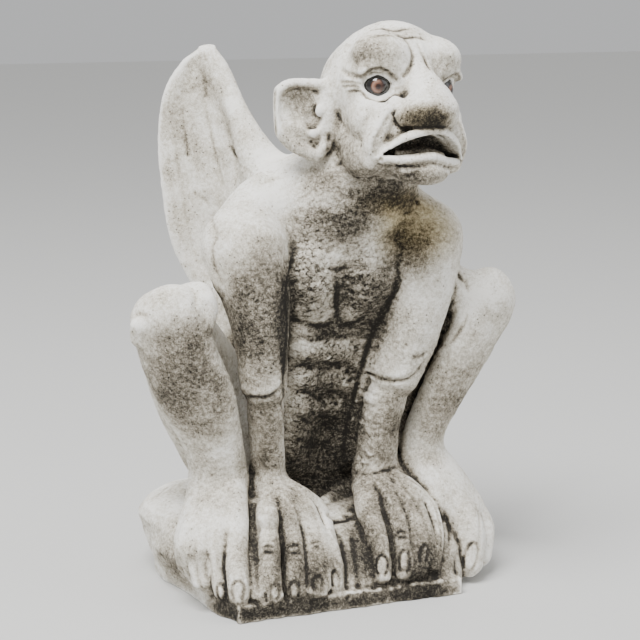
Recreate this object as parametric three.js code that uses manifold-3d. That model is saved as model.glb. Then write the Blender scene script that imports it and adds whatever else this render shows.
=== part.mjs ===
// A crouching winged gargoyle on a low rock, cast in stone as one piece, with two inset glass eyes.
// Millimetres, +Z up. The origin is on the flat underside, and the figure faces -Y.
// "Left" and "right" are the figure's own: its right side is at -X.
import * as THREE from "three";
import { mergeVertices } from "three/addons/utils/BufferGeometryUtils.js";
import Module from "manifold-3d";

const wasm = await Module();
wasm.setup();

// Driving dimensions
const HEIGHT = 400; // underside to the crown of the head
const LIP_HEIGHT = 12; // the square-edged lip round the foot of the rock
const LIP_STEP = 3.5; // how far the lip stands out from the rock above it
const EYE_RADIUS = 9;
const EYE_GAP = 0.3; // clearance between a glass eye and its socket
const WING_THICKNESS = 9;
const RIB_DEPTH = 1.1; // half the rise of the ribs on a wing

// The pose and proportions were set out on a figure of this height, and scale with it.
const SET_OUT_HEIGHT = 400;
const k = HEIGHT / SET_OUT_HEIGHT;
const SIDES = { right: -1, left: 1 };

const stone = new THREE.MeshStandardMaterial({
  color: 0xc4beb0,
  roughness: 0.92,
  metalness: 0,
});
const glass = new THREE.MeshStandardMaterial({
  color: 0x6a3d28,
  roughness: 0.08,
  metalness: 0,
});

// Solids

// A closed geometry as a solid that can be joined and cut.
function solidOf(geometry) {
  const bare = geometry.clone();
  bare.deleteAttribute("normal");
  bare.deleteAttribute("uv");
  const merged = mergeVertices(bare, 1e-3);
  return new wasm.Manifold(
    new wasm.Mesh({
      numProp: 3,
      vertProperties: merged.attributes.position.array,
      triVerts: new Uint32Array(merged.index.array),
    }),
  );
}

// A solid as a geometry again.
function geometryOf(solid) {
  const mesh = solid.getMesh();
  const places = new Float32Array(mesh.numVert * 3);
  for (let i = 0; i < mesh.numVert; i++)
    places.set(
      mesh.vertProperties.subarray(i * mesh.numProp, i * mesh.numProp + 3),
      i * 3,
    );
  return new THREE.BufferGeometry()
    .setAttribute("position", new THREE.BufferAttribute(places, 3))
    .setIndex(new THREE.BufferAttribute(mesh.triVerts, 1));
}

// Moves every vertex of a geometry to where place(vertex) puts it.
function shaped(geometry, place) {
  const position = geometry.getAttribute("position");
  const vertex = new THREE.Vector3();
  for (let i = 0; i < position.count; i++) {
    vertex.fromBufferAttribute(position, i);
    const moved = place(vertex);
    position.setXYZ(i, moved.x, moved.y, moved.z);
  }
  return geometry;
}

const joined = (solids) => solids.reduce((all, one) => all.add(one));

// A value between the stations of a list, eased from one to the next.
function between(values, t) {
  const last = values.length - 1;
  const i = Math.min(Math.floor(t * last), last - 1);
  return THREE.MathUtils.lerp(values[i], values[i + 1], t * last - i);
}

// A limb: a capsule bent along its stations, [x, y, z, half width, half depth], with round ends.
// across is the direction of its width. A station without a half depth is round.
function limb(stations, { around = 10, along = 6, caps = 3, across = [1, 0, 0] } = {}) {
  const spine = new THREE.CatmullRomCurve3(
    stations.map(([x, y, z]) => new THREE.Vector3(x, y, z).multiplyScalar(k)),
  );
  const widths = stations.map((s) => s[3] * k);
  const depths = stations.map((s) => (s[4] ?? s[3]) * k);
  const side = new THREE.Vector3(...across);
  return shaped(new THREE.CapsuleGeometry(1, 1, caps, around, along), (v) => {
    const t = THREE.MathUtils.clamp(v.y + 0.5, 0, 1);
    const beyond = v.y + 0.5 - t;
    const tangent = spine.getTangent(t);
    const wide = side.clone().addScaledVector(tangent, -side.dot(tangent)).normalize();
    const deep = tangent.clone().cross(wide);
    const [w, d] = [between(widths, t), between(depths, t)];
    return spine
      .getPoint(t)
      .addScaledVector(wide, v.x * w)
      .addScaledVector(deep, -v.z * d)
      .addScaledVector(tangent, beyond * Math.min(w, d));
  });
}

// An egg-shaped lump: a sphere with its centre and three half sizes.
function lump([x, y, z], [a, b, c], { around = 14, along = 9 } = {}) {
  return shaped(new THREE.SphereGeometry(1, around, along), (v) =>
    new THREE.Vector3(x + v.x * a, y - v.z * b, z + v.y * c).multiplyScalar(k),
  );
}

const limbs = (list, options) => joined(list.map((s) => solidOf(limb(s, options))));

// The rock

// The rock's outline at each height: how far it reaches to the front and the back, and its half
// width at the front edge, across the middle and at the back edge. The first two are the lip.
const LIP_TOP = LIP_HEIGHT / k;
const ABOVE_LIP = LIP_TOP + 1.5;
const ROCK_FRONT = -109;
const FRONT_SHIFT = -6; // how far the front edge lies towards the figure's right
const ROCK_LEVELS = [
  { z: 0, front: ROCK_FRONT, back: 84, frontHalf: 83, middleHalf: 104, backHalf: 84 },
  { z: LIP_TOP, front: ROCK_FRONT, back: 85, frontHalf: 83, middleHalf: 107, backHalf: 85 },
  {
    z: ABOVE_LIP,
    front: ROCK_FRONT + LIP_STEP / k,
    back: 86,
    frontHalf: 82,
    middleHalf: 109,
    backHalf: 86,
  },
  { z: 28, front: -99, back: 88, frontHalf: 84, middleHalf: 117, backHalf: 88 },
  { z: 44, front: -84, back: 86, frontHalf: 80, middleHalf: 118, backHalf: 86 },
  { z: 52, front: -66, back: 80, frontHalf: 74, middleHalf: 112, backHalf: 78 },
  { z: 58, front: -48, back: 62, frontHalf: 58, middleHalf: 98, backHalf: 62 },
];

// A point of the rock's outline at a level, at angle a from +X. The corners are nearly square.
function rockOutline(level, a) {
  const squareness = 16;
  const [c, s] = [Math.cos(a), Math.sin(a)];
  const round = (Math.abs(c) ** squareness + Math.abs(s) ** squareness) ** (-1 / squareness);
  const half = s < 0 ? level.frontHalf : level.backHalf;
  const across = THREE.MathUtils.lerp(level.middleHalf, half, Math.abs(s * round) ** 2);
  const middle = (level.front + level.back) / 2;
  const shift = s < 0 ? FRONT_SHIFT * (s * round) ** 2 : 0;
  return [c * round * across + shift, middle + (s * round * (level.back - level.front)) / 2];
}

// The rock: a lip, a bulging body, and a front that slopes back under the fingers.
function rock() {
  const last = ROCK_LEVELS.length - 1;
  const block = new THREE.CylinderGeometry(1, 1, 1, 24, last);
  return solidOf(
    shaped(block, (v) => {
      const i = Math.round((v.y + 0.5) * last);
      const level = ROCK_LEVELS[i];
      if (Math.hypot(v.x, v.z) < 0.5)
        return new THREE.Vector3(0, (level.front + level.back) / 2, level.z).multiplyScalar(k);
      const a = Math.atan2(-v.z, v.x);
      const [x, y] = rockOutline(level, a);
      const rough = i > 1 ? 0.02 * Math.sin(5 * a + i) * Math.sin(3 * a + 1.7 * i) : 0;
      return new THREE.Vector3(x * (1 + rough), y * (1 + rough / 2), level.z).multiplyScalar(k);
    }),
  );
}

// The body

function trunk() {
  const torso = limb(
    [
      [2, 20, 72, 54, 46],
      [3, 12, 118, 48, 42],
      [4, -8, 176, 52, 44],
      [5, -26, 232, 58, 44],
      [5, -32, 268, 48, 32],
    ],
    { around: 12, along: 5, caps: 2 },
  );
  const neck = limb(
    [
      [8, -40, 256, 52, 38],
      [20, -52, 288, 44, 38],
      [32, -66, 318, 32, 36],
    ],
    { around: 10, along: 3, caps: 2 },
  );
  const yoke = limb(
    [
      [-68, -50, 254, 21],
      [-36, -36, 278, 24],
      [4, -30, 284, 26],
      [42, -38, 276, 23],
      [74, -52, 254, 20],
    ],
    { around: 7, along: 5, caps: 1, across: [0, 0, 1] },
  );
  const breasts = [-1, 1].map((s) => lump([8 + s * 19, -62, 228], [20, 9, 22], { around: 8, along: 5 }));
  return joined([torso, neck, yoke, ...breasts].map(solidOf));
}

// Arms, shoulder to wrist. The hair of the upper arm ends in a cuff over the bare forearm.
const ARMS = {
  right: {
    upper: [
      [-63, -58, 250, 27, 27],
      [-59, -61, 219, 23.5, 24],
      [-55, -62, 188, 19, 21],
      [-52, -59, 150, 16, 19],
    ],
    fore: [
      [-52, -58, 152, 13, 15],
      [-48, -52, 124, 12.5, 15],
      [-45, -46, 100, 12, 14],
      [-43, -42, 74, 14.5, 14],
    ],
  },
  left: {
    upper: [
      [72, -56, 248, 24, 25],
      [67, -60, 213, 22, 23],
      [59, -61, 184, 20.5, 21],
      [50, -57, 150, 18, 19],
    ],
    fore: [
      [49, -56, 152, 15, 16],
      [43, -52, 130, 15, 16],
      [41, -46, 108, 14.5, 15],
      [40, -42, 78, 16.5, 15],
    ],
  },
};

function arm(side) {
  const { upper, fore } = ARMS[side];
  return limbs([upper], { around: 12, along: 5, caps: 2 }).add(
    limbs([fore], { around: 9, along: 3, caps: 1 }),
  );
}

// Hands: the back of the hand, then the digits, each from knuckle over middle joint to tip.
const HANDS = {
  right: {
    back: [
      [-43, -42, 74, 17, 13],
      [-42, -54, 66, 22, 12],
      [-38, -64, 58, 25, 12],
      [-38, -78, 40, 24, 10],
    ],
    digits: [
      [[-56, -60, 62, 8], [-61, -84, 42, 9], [-62, -98, 15, 8]],
      [[-41, -60, 62, 8], [-45, -84, 43, 8], [-46, -99, 14, 7]],
      [[-28, -60, 62, 7], [-30, -83, 43, 7.5], [-31, -98, 16, 6.5]],
      [[-17, -56, 60, 6], [-16, -80, 44, 6.5], [-16, -96, 18, 5.5]],
    ],
  },
  left: {
    back: [
      [40, -42, 78, 18, 13],
      [44, -52, 68, 23, 12],
      [49, -62, 58, 27, 12],
      [50, -76, 42, 26, 10],
    ],
    digits: [
      [[31, -58, 62, 9], [27, -84, 43, 9.5], [24, -97, 19, 7.5]],
      [[47, -60, 62, 8], [45, -84, 45, 8], [42, -97, 22, 6.5]],
      [[60, -60, 61, 7.5], [62, -80, 47, 7.5], [60, -93, 26, 6]],
      [[71, -54, 60, 6.5], [75, -70, 48, 6.5], [75, -82, 30, 5.5]],
      [[26, -42, 70, 10], [12, -48, 62, 7], [-2, -54, 55, 5]],
    ],
  },
};

function hand(side) {
  const { back, digits } = HANDS[side];
  return limbs([back], { around: 9, along: 3, caps: 1 }).add(
    limbs(digits, { around: 6, along: 2, caps: 2 }),
  );
}

// Legs: the thigh rises forward from the hip to the knee, and the shin falls inward to the ankle.
const LEGS = {
  right: {
    thigh: [
      [-50, 20, 98, 40, 36],
      [-86, -10, 152, 36, 32],
      [-112, -42, 196, 27, 24],
    ],
    shin: [
      [-121, -60, 204, 26, 21],
      [-112, -58, 174, 27, 19],
      [-98, -53, 144, 26.5, 18],
      [-86, -47, 114, 21.5, 16],
      [-79, -41, 84, 20, 16],
    ],
    knee: [-116, -66, 206],
  },
  left: {
    thigh: [
      [52, 20, 98, 40, 36],
      [86, -10, 150, 34, 30],
      [110, -42, 194, 24, 22],
    ],
    shin: [
      [120, -60, 202, 24, 18],
      [108, -58, 172, 24, 16],
      [93, -53, 142, 22, 15],
      [81, -46, 112, 17, 14],
      [76, -40, 84, 18, 15],
    ],
    knee: [114, -66, 204],
  },
};

function leg(side) {
  const { thigh, shin, knee } = LEGS[side];
  return joined([
    solidOf(limb(thigh, { around: 10, along: 3, caps: 2, across: [0, 0, 1] })),
    solidOf(limb(shin, { around: 11, along: 5, caps: 2, across: [0.87, SIDES[side] * 0.5, 0] })),
    solidOf(lump(knee, [22, 14, 19], { around: 8, along: 5 })),
  ]);
}

// Feet: the instep drapes over the corner of the rock. Five toes fan out from the right one. The
// left one hangs over the side of the rock, with its big toe in front.
const FEET = {
  right: {
    instep: [
      [-79, -41, 84, 20, 16],
      [-88, -56, 64, 23, 14],
      [-97, -68, 44, 24, 12],
    ],
    toes: [
      [[-83, -68, 50, 9], [-86, -90, 30, 9.5], [-87, -99, 14, 8.5]],
      [[-92, -68, 50, 7.5], [-97, -86, 30, 7.5], [-100, -91, 16, 6.5]],
      [[-101, -66, 50, 7], [-107, -80, 32, 7], [-110, -84, 19, 6]],
      [[-107, -60, 50, 6.5], [-113, -71, 35, 6.5], [-116, -74, 25, 5.5]],
      [[-110, -54, 51, 6], [-117, -60, 40, 6], [-120, -62, 31, 5]],
    ],
  },
  left: {
    instep: [
      [78, -41, 84, 20, 16],
      [88, -56, 66, 23, 15],
      [99, -64, 46, 24, 14],
    ],
    toes: [
      [[90, -66, 54, 12], [97, -77, 34, 13], [95, -86, 14, 9]],
      [[106, -58, 50, 10], [115, -64, 32, 9.5], [110, -74, 15, 7.5]],
      [[112, -44, 50, 8], [122, -50, 34, 7.5], [120, -56, 19, 6]],
    ],
  },
};

function foot(side) {
  const { instep, toes } = FEET[side];
  const across = [0.87, SIDES[side] * 0.5, 0];
  return limbs([instep], { around: 9, along: 2, caps: 1, across }).add(
    limbs(toes, { around: 6, along: 2, caps: 2, across }),
  );
}

// Wings: each a ribbed panel behind the shoulder, with a thick leading edge towards the neck.
// The edges run from the hip to the tip and are given for the left wing.
const WING_INNER = [
  [34, 26, 200],
  [30, 18, 244],
  [28, 6, 290],
  [34, 12, 326],
  [40, 22, 352],
  [48, 31, 372],
  [54, 36, 381],
];
const WING_OUTER = [
  [66, 43, 203],
  [82, 48, 230],
  [89, 50, 268],
  [91, 50, 306],
  [88, 46, 340],
  [76, 41, 368],
  [60, 37, 381],
];

function wing(s) {
  const [inner, outer] = [WING_INNER, WING_OUTER].map(
    (edge) =>
      new THREE.CatmullRomCurve3(
        edge.map(([x, y, z]) => new THREE.Vector3(s * x, y, z).multiplyScalar(k)),
      ),
  );
  const ribs = 3;
  const panel = shaped(new THREE.BoxGeometry(1, 1, 1, 10, 7, 1), (v) => {
    const [u, t] = [s * v.x + 0.5, v.y + 0.5];
    const from = inner.getPoint(t);
    const chord = outer.getPoint(t).sub(from);
    const normal = new THREE.Vector3(-chord.y, chord.x, 0).normalize().multiplyScalar(s);
    const hollow = 6 * k * Math.sin(Math.PI * u) * Math.sin(Math.PI * t);
    const wave = RIB_DEPTH * Math.cos(2 * Math.PI * ribs * u) * Math.sin(Math.PI * t);
    const half = (WING_THICKNESS / 2) * (1 - 0.3 * u * u) + wave;
    return from.addScaledVector(chord, u).addScaledVector(normal, hollow - 2 * v.z * half);
  });
  const across = [0.9, s * 0.4, 0];
  const edge = limb(
    [
      [s * 20, -20, 282, 18, 16],
      [s * 33, -2, 303, 13, 12],
      [s * 43, 14, 334, 8, 8],
      [s * 52, 29, 364, 6, 5],
      [s * 58, 35, 375, 5, 4.5],
    ],
    { around: 7, along: 4, caps: 1, across },
  );
  const root = limb(
    [
      [s * 28, 2, 288, 17, 16],
      [s * 34, 18, 240, 16, 14],
      [s * 42, 28, 196, 18, 12],
      [s * 48, 30, 164, 14, 10],
    ],
    { around: 7, along: 3, caps: 1, across },
  );
  return joined([panel, edge, root].map(solidOf));
}

// The head

// It is modelled upright about its own centre, at the height of the eyes, with the face towards
// -Y. Then it is tilted and turned to the figure's left, in degrees, and set forward on the neck.
const HEAD = { at: [33, -76, 355], turn: 12, tilt: 5 };
const EYE = { x: 26.7, y: -23.5, z: 1.8, outward: 28 }; // outward is where it looks, in degrees

function placeHead(solid) {
  return solid
    .rotate([0, HEAD.tilt, 0])
    .rotate([0, 0, HEAD.turn])
    .translate(HEAD.at.map((c) => c * k));
}

// The masses of the head, each an egg-shaped form with a centre and three half sizes.
const HEAD_MASSES = [
  { at: [0, 6, 0], half: [42, 44, 38] }, // skull
  { at: [0, -4, 13], half: [34, 32, 32.5] }, // crown
  { at: [0, 2, -34], half: [37, 36, 26] }, // jaw
  { at: [0, -24, -40], half: [38, 29, 20] }, // muzzle
  { at: [0, -14, -16], half: [38, 26, 26] }, // face
  { at: [0, -35, 8], half: [9, 12, 15] }, // bridge of the nose
  { at: [0, -50, -12], half: [18, 15, 13.5] }, // bulb of the nose
  { at: [0, -44, -52], half: [22, 14, 10] }, // chin
  ...[-1, 1].flatMap((s) => [
    { at: [s * 21, -18, 21], half: [21, 18, 14.5] }, // brow
    { at: [s * 31, -12, 4], half: [10.5, 14.5, 17] }, // temple
    { at: [s * 31, -24, -22], half: [13, 14, 17] }, // cheek
    { at: [s * 16, -44, -16], half: [8.5, 10, 8.5] }, // wing of the nose
    { at: [s * 30, -18, -46], half: [12, 18, 14] }, // jowl
  ]),
];

// How far the head reaches from its middle in a direction: the farthest mass, softened so that
// neighbouring masses flow into one another.
function headReach(direction) {
  const soft = 0.8;
  let sum = 0;
  for (const { at, half } of HEAD_MASSES) {
    const [d, c] = [direction, at].map((v) => new THREE.Vector3(...v).divide(new THREE.Vector3(...half)));
    const [aa, bb, cc] = [d.dot(d), d.dot(c), c.dot(c) - 1];
    const inside = bb * bb - aa * cc;
    if (inside > 0) sum += Math.exp(soft * ((bb + Math.sqrt(inside)) / aa - 50));
  }
  return 50 + Math.log(sum) / soft;
}

// Bends the corners of the mouth down and back.
const MOUTH_HALF = 28;
const droop = (v) => {
  const bend = k * (v.x / (MOUTH_HALF * k)) ** 2;
  return v.setZ(v.z - 9 * bend).setY(v.y + 8 * bend);
};

// An ear: a broad dish, cut hollow, swept back from its root. It is given as the left one.
const EAR_ROOT = [41, 13, 0];
const EAR_SWEEP = 27;

function ear(s) {
  const lumpOf = ([x, y, z], half, detail) => solidOf(lump([s * x, y, z], half, detail));
  const upper = lumpOf([17, 1, -19], [19.5, 7, 22], { around: 10, along: 6 });
  const lower = lumpOf([15, 1, -31], [17.5, 7, 19], { around: 10, along: 6 });
  const hollow = lumpOf([18, -6, -21], [13, 7, 15], { around: 8, along: 5 });
  const root = lumpOf([-3, 2, -20], [10, 9, 23], { around: 8, along: 5 });
  return joined([upper, lower])
    .subtract(hollow)
    .add(root)
    .rotate([0, 0, s * EAR_SWEEP])
    .translate([s * EAR_ROOT[0], EAR_ROOT[1], EAR_ROOT[2]].map((c) => c * k));
}

// Turns a form that is centred on an eye, and sets it a distance out along where the eye looks.
function atEye(s, geometry, out) {
  return geometry
    .translate(0, -out * k, 0)
    .rotateZ(s * THREE.MathUtils.degToRad(EYE.outward))
    .translate(s * EYE.x * k, EYE.y * k, EYE.z * k);
}

// The lids stand round the eye as a ring.
function lids(s) {
  const ring = new THREE.TorusGeometry(EYE_RADIUS, 2.4 * k, 5, 9);
  return solidOf(atEye(s, ring.scale(1, 0.8, 1).rotateX(Math.PI / 2), 5.5));
}

function head() {
  const mass = shaped(new THREE.SphereGeometry(1, 26, 17), (v) => {
    const direction = [v.x, -v.y, -v.z];
    return new THREE.Vector3(...direction).multiplyScalar(headReach(direction) * k);
  });
  const mouth = shaped(
    lump([0, -56, -33], [MOUTH_HALF, 20, 7.5], { around: 12, along: 6 }),
    droop,
  );
  const lowerLip = limb(
    [
      [-30, -42, -46, 3],
      [-16, -51, -45.5, 3.4],
      [0, -55, -43, 3.8],
      [16, -51, -45.5, 3.4],
      [30, -42, -46, 3],
    ],
    { around: 6, along: 6, caps: 1, across: [0, 0, 1] },
  );
  const open = [1, 0.9, 0.75].map((share) => (share * EYE_RADIUS) / k);
  const openings = [-1, 1].map((s) => atEye(s, lump([0, 0, 0], open, { around: 9, along: 6 }), 8));
  const carved = solidOf(mass)
    .subtract(solidOf(mouth))
    .subtract(joined(openings.map(solidOf)));
  return placeHead(joined([carved, solidOf(lowerLip), lids(-1), lids(1), ear(-1), ear(1)]));
}

function eyeball(s, radius) {
  const at = [s * EYE.x, EYE.y, EYE.z].map((c) => c * k);
  return placeHead(solidOf(new THREE.SphereGeometry(radius, 11, 8).translate(...at)));
}

// Assembly

const figure = new THREE.Group();

function addPiece(name, solid, material) {
  const mesh = new THREE.Mesh(geometryOf(solid), material);
  mesh.name = name;
  figure.add(mesh);
}

const sideNames = Object.keys(SIDES);
const stoneParts = [rock(), trunk(), head()];
for (const side of sideNames) {
  const s = SIDES[side];
  stoneParts.push(arm(side), hand(side), leg(side), foot(side), wing(s));
}
const sockets = sideNames.map((side) => eyeball(SIDES[side], EYE_RADIUS + EYE_GAP));
addPiece("gargoyle", joined(stoneParts).subtract(joined(sockets)), stone);
for (const side of sideNames) addPiece("glass_eye_" + side, eyeball(SIDES[side], EYE_RADIUS), glass);

export default figure;
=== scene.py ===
"""A weathered cast-stone gargoyle crouching on a low rock, dressed round its CAD frame.

The figure is carved the way a mould maker works: masses of clay are pressed together, hollows are
cut, creases and hair are tooled in, and the whole is cast as one skin. Sizes are in millimetres and
are turned to metres only when a mesh is made. The figure faces -Y, and its own right side is at -X.
"""

import logging
import math
from dataclasses import dataclass, field
from enum import Enum
from typing import Callable, Optional, Sequence

import bpy
import numpy as np
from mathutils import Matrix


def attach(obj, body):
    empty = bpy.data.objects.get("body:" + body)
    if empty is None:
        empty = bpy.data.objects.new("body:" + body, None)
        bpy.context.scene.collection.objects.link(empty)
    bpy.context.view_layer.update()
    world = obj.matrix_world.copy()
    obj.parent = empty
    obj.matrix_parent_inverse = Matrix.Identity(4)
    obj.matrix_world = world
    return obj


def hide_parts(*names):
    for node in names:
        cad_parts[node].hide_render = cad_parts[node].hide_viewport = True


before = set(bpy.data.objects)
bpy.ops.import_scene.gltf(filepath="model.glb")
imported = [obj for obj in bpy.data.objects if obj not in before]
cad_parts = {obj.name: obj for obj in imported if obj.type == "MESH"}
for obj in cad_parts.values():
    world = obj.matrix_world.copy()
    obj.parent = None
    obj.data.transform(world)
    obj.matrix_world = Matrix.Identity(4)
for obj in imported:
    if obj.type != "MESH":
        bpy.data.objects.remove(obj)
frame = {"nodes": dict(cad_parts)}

import openvdb
from mathutils import Matrix, Vector

log = logging.getLogger("gargoyle")

MM = 0.001
Point = Sequence[float]
Station = Sequence[float]

TRIANGLE_LIMIT = 135_000


class Side(Enum):
    """The figure's own sides, by the sign of x."""

    RIGHT = -1
    LEFT = 1


# The clay

FAR = 30.0
STROKE_ROWS = 6


@dataclass(frozen=True)
class Stand:
    """Where a part is modelled: its own origin, then its tilt and turn in degrees.

    A positive tilt lowers the figure's left side, and a positive turn faces it to its left.
    """

    origin: Point = (0.0, 0.0, 0.0)
    tilt: float = 0.0
    turn: float = 0.0

    def axes(self) -> np.ndarray:
        """The part's own x, y and z directions, as the columns of a matrix."""
        a, b = math.radians(self.turn), math.radians(self.tilt)
        turn = np.array([[math.cos(a), -math.sin(a), 0], [math.sin(a), math.cos(a), 0], [0, 0, 1]])
        tilt = np.array([[math.cos(b), 0, math.sin(b)], [0, 1, 0], [-math.sin(b), 0, math.cos(b)]])
        return turn @ tilt

    def place(self, points: np.ndarray) -> np.ndarray:
        """Takes points of the part to where they are in the figure."""
        return np.atleast_2d(points) @ self.axes().T + np.asarray(self.origin)

    def own(self, points: np.ndarray) -> np.ndarray:
        """Takes points of the figure to the part's own coordinates."""
        return (points - np.asarray(self.origin)) @ self.axes()


WORLD = Stand()


@dataclass(frozen=True)
class Egg:
    """An egg-shaped mass.

    Args:
        at: its centre.
        half: its three half sizes.
        lean: its turns about x, y and z, in degrees.
    """

    at: Point
    half: Point
    lean: Point = (0.0, 0.0, 0.0)

    def distance(self, clay: "Clay", stand: Stand, margin: float) -> tuple:
        """Signed distance to the egg, in the window of the clay that it reaches.

        Args:
            clay: the clay that is asked for its window.
            stand: where the part is modelled.
            margin: how far past the egg the window goes.

        Returns:
            The window and the distances in it.
        """
        rx, ry, rz = (math.radians(v) for v in self.lean)
        about_x = np.array([[1, 0, 0], [0, math.cos(rx), -math.sin(rx)], [0, math.sin(rx), math.cos(rx)]])
        about_y = np.array([[math.cos(ry), 0, math.sin(ry)], [0, 1, 0], [-math.sin(ry), 0, math.cos(ry)]])
        about_z = np.array([[math.cos(rz), -math.sin(rz), 0], [math.sin(rz), math.cos(rz), 0], [0, 0, 1]])
        axes = stand.axes() @ about_z @ about_y @ about_x
        centre = stand.place(self.at)[0]
        half = np.asarray(self.half, float)
        reach = np.sqrt(((axes * half) ** 2).sum(axis=1)) + margin
        window = clay.window(centre - reach, centre + reach)
        if window is None:
            return None, None
        x, y, z = window.spread(centre)
        near = 0.0
        steep = 0.0
        for i in range(3):
            along = x * axes[0, i] + y * axes[1, i] + z * axes[2, i]
            near = near + (along / half[i]) ** 2
            steep = steep + (along / half[i] ** 2) ** 2
        near = np.sqrt(near)
        return window, near * (near - 1) / (np.sqrt(steep) + 1e-6)


def smooth_path(points: np.ndarray, count: int) -> np.ndarray:
    """Rounds a run of stations into a smooth one.

    Args:
        points: one row for each station, with any number of columns.
        count: how many rows are made between two stations.

    Returns:
        The rows of a Catmull-Rom curve through the stations.
    """
    padded = np.vstack([2 * points[0] - points[1], points, 2 * points[-1] - points[-2]])
    rows = []
    for i in range(1, len(padded) - 2):
        p0, p1, p2, p3 = padded[i - 1], padded[i], padded[i + 1], padded[i + 2]
        for t in np.arange(count) / count:
            rows.append(
                0.5
                * (
                    2 * p1
                    + (p2 - p0) * t
                    + (2 * p0 - 5 * p1 + 4 * p2 - p3) * t**2
                    + (3 * p1 - p0 - 3 * p2 + p3) * t**3
                )
            )
    rows.append(padded[-2])
    return np.array(rows)


@dataclass(frozen=True)
class Strand:
    """A round-ended limb, finger, fold or rib along a curved line.

    Args:
        stations: x, y, z and half width at each place, and a half depth where it isn't round.
        across: the direction of the width.
    """

    stations: Sequence[Station]
    across: Point = (1.0, 0.0, 0.0)

    def distance(self, clay: "Clay", stand: Stand, margin: float) -> tuple:
        """Signed distance to the strand, in the window of the clay that it reaches.

        Args:
            clay: the clay that is asked for its window.
            stand: where the part is modelled.
            margin: how far past the strand the window goes.

        Returns:
            The window and the distances in it.
        """
        rows = np.array([list(s) + [s[3]] * (5 - len(s)) for s in self.stations], float)
        gaps = np.linalg.norm(np.diff(rows[:, :3], axis=0), axis=1)
        count = int(np.clip(math.ceil(gaps.max() / 5.0), 1, 8))
        rows = smooth_path(rows, count) if len(rows) > 2 else rows
        spots = stand.place(rows[:, :3])
        sizes = np.maximum(rows[:, 3:5], 0.3)
        side = stand.axes() @ np.asarray(self.across, float)
        reach = sizes.max() + margin
        window = clay.window(spots.min(axis=0) - reach, spots.max(axis=0) + reach)
        if window is None:
            return None, None
        result = np.full(window.shape, FAR, np.float32)
        for a, b, size_a, size_b in zip(spots[:-1], spots[1:], sizes[:-1], sizes[1:]):
            length = np.linalg.norm(b - a)
            if length < 1e-4:
                continue
            along = (b - a) / length
            wide = side - along * (side @ along)
            wide /= np.linalg.norm(wide)
            deep = np.cross(along, wide)
            near_reach = max(size_a.max(), size_b.max()) + margin
            part = clay.window(np.minimum(a, b) - near_reach, np.maximum(a, b) + near_reach)
            if part is None:
                continue
            x, y, z = part.spread(a)
            s = x * along[0] + y * along[1] + z * along[2]
            t = np.clip(s / length, 0, 1)
            over = s - t * length
            u = x * wide[0] + y * wide[1] + z * wide[2]
            v = x * deep[0] + y * deep[1] + z * deep[2]
            w = size_a[0] + (size_b[0] - size_a[0]) * t
            d = size_a[1] + (size_b[1] - size_a[1]) * t
            m = np.minimum(w, d)
            near = np.sqrt((u / w) ** 2 + (v / d) ** 2 + (over / m) ** 2)
            steep = np.sqrt((u / w**2) ** 2 + (v / d**2) ** 2 + (over / m**2) ** 2) + 1e-6
            inner = part.inside(window)
            result[inner] = np.minimum(result[inner], near * (near - 1) / steep)
        return window, result


@dataclass(frozen=True)
class Window:
    """A box of the clay's cells."""

    first: tuple
    last: tuple
    low: np.ndarray
    step: float

    @property
    def cells(self) -> tuple:
        """The box as slices of the whole grid."""
        return tuple(slice(a, b) for a, b in zip(self.first, self.last))

    @property
    def shape(self) -> tuple:
        """How many cells the box has each way."""
        return tuple(b - a for a, b in zip(self.first, self.last))

    def inside(self, outer: "Window") -> tuple:
        """The box as slices of a larger box that holds it.

        Args:
            outer: the larger box.

        Returns:
            One slice for each axis.
        """
        return tuple(slice(a - o, b - o) for a, b, o in zip(self.first, self.last, outer.first))

    def spread(self, origin: Point = (0.0, 0.0, 0.0)) -> list:
        """The cells' coordinates from an origin, ready to combine by broadcasting.

        Args:
            origin: the place that they are measured from.

        Returns:
            The x, y and z coordinates, each along its own axis of the grid.
        """
        lines = []
        for i in range(3):
            line = self.low[i] + self.step * np.arange(self.first[i], self.last[i]) - origin[i]
            lines.append(line.astype(np.float32).reshape([-1 if j == i else 1 for j in range(3)]))
        return lines


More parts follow.
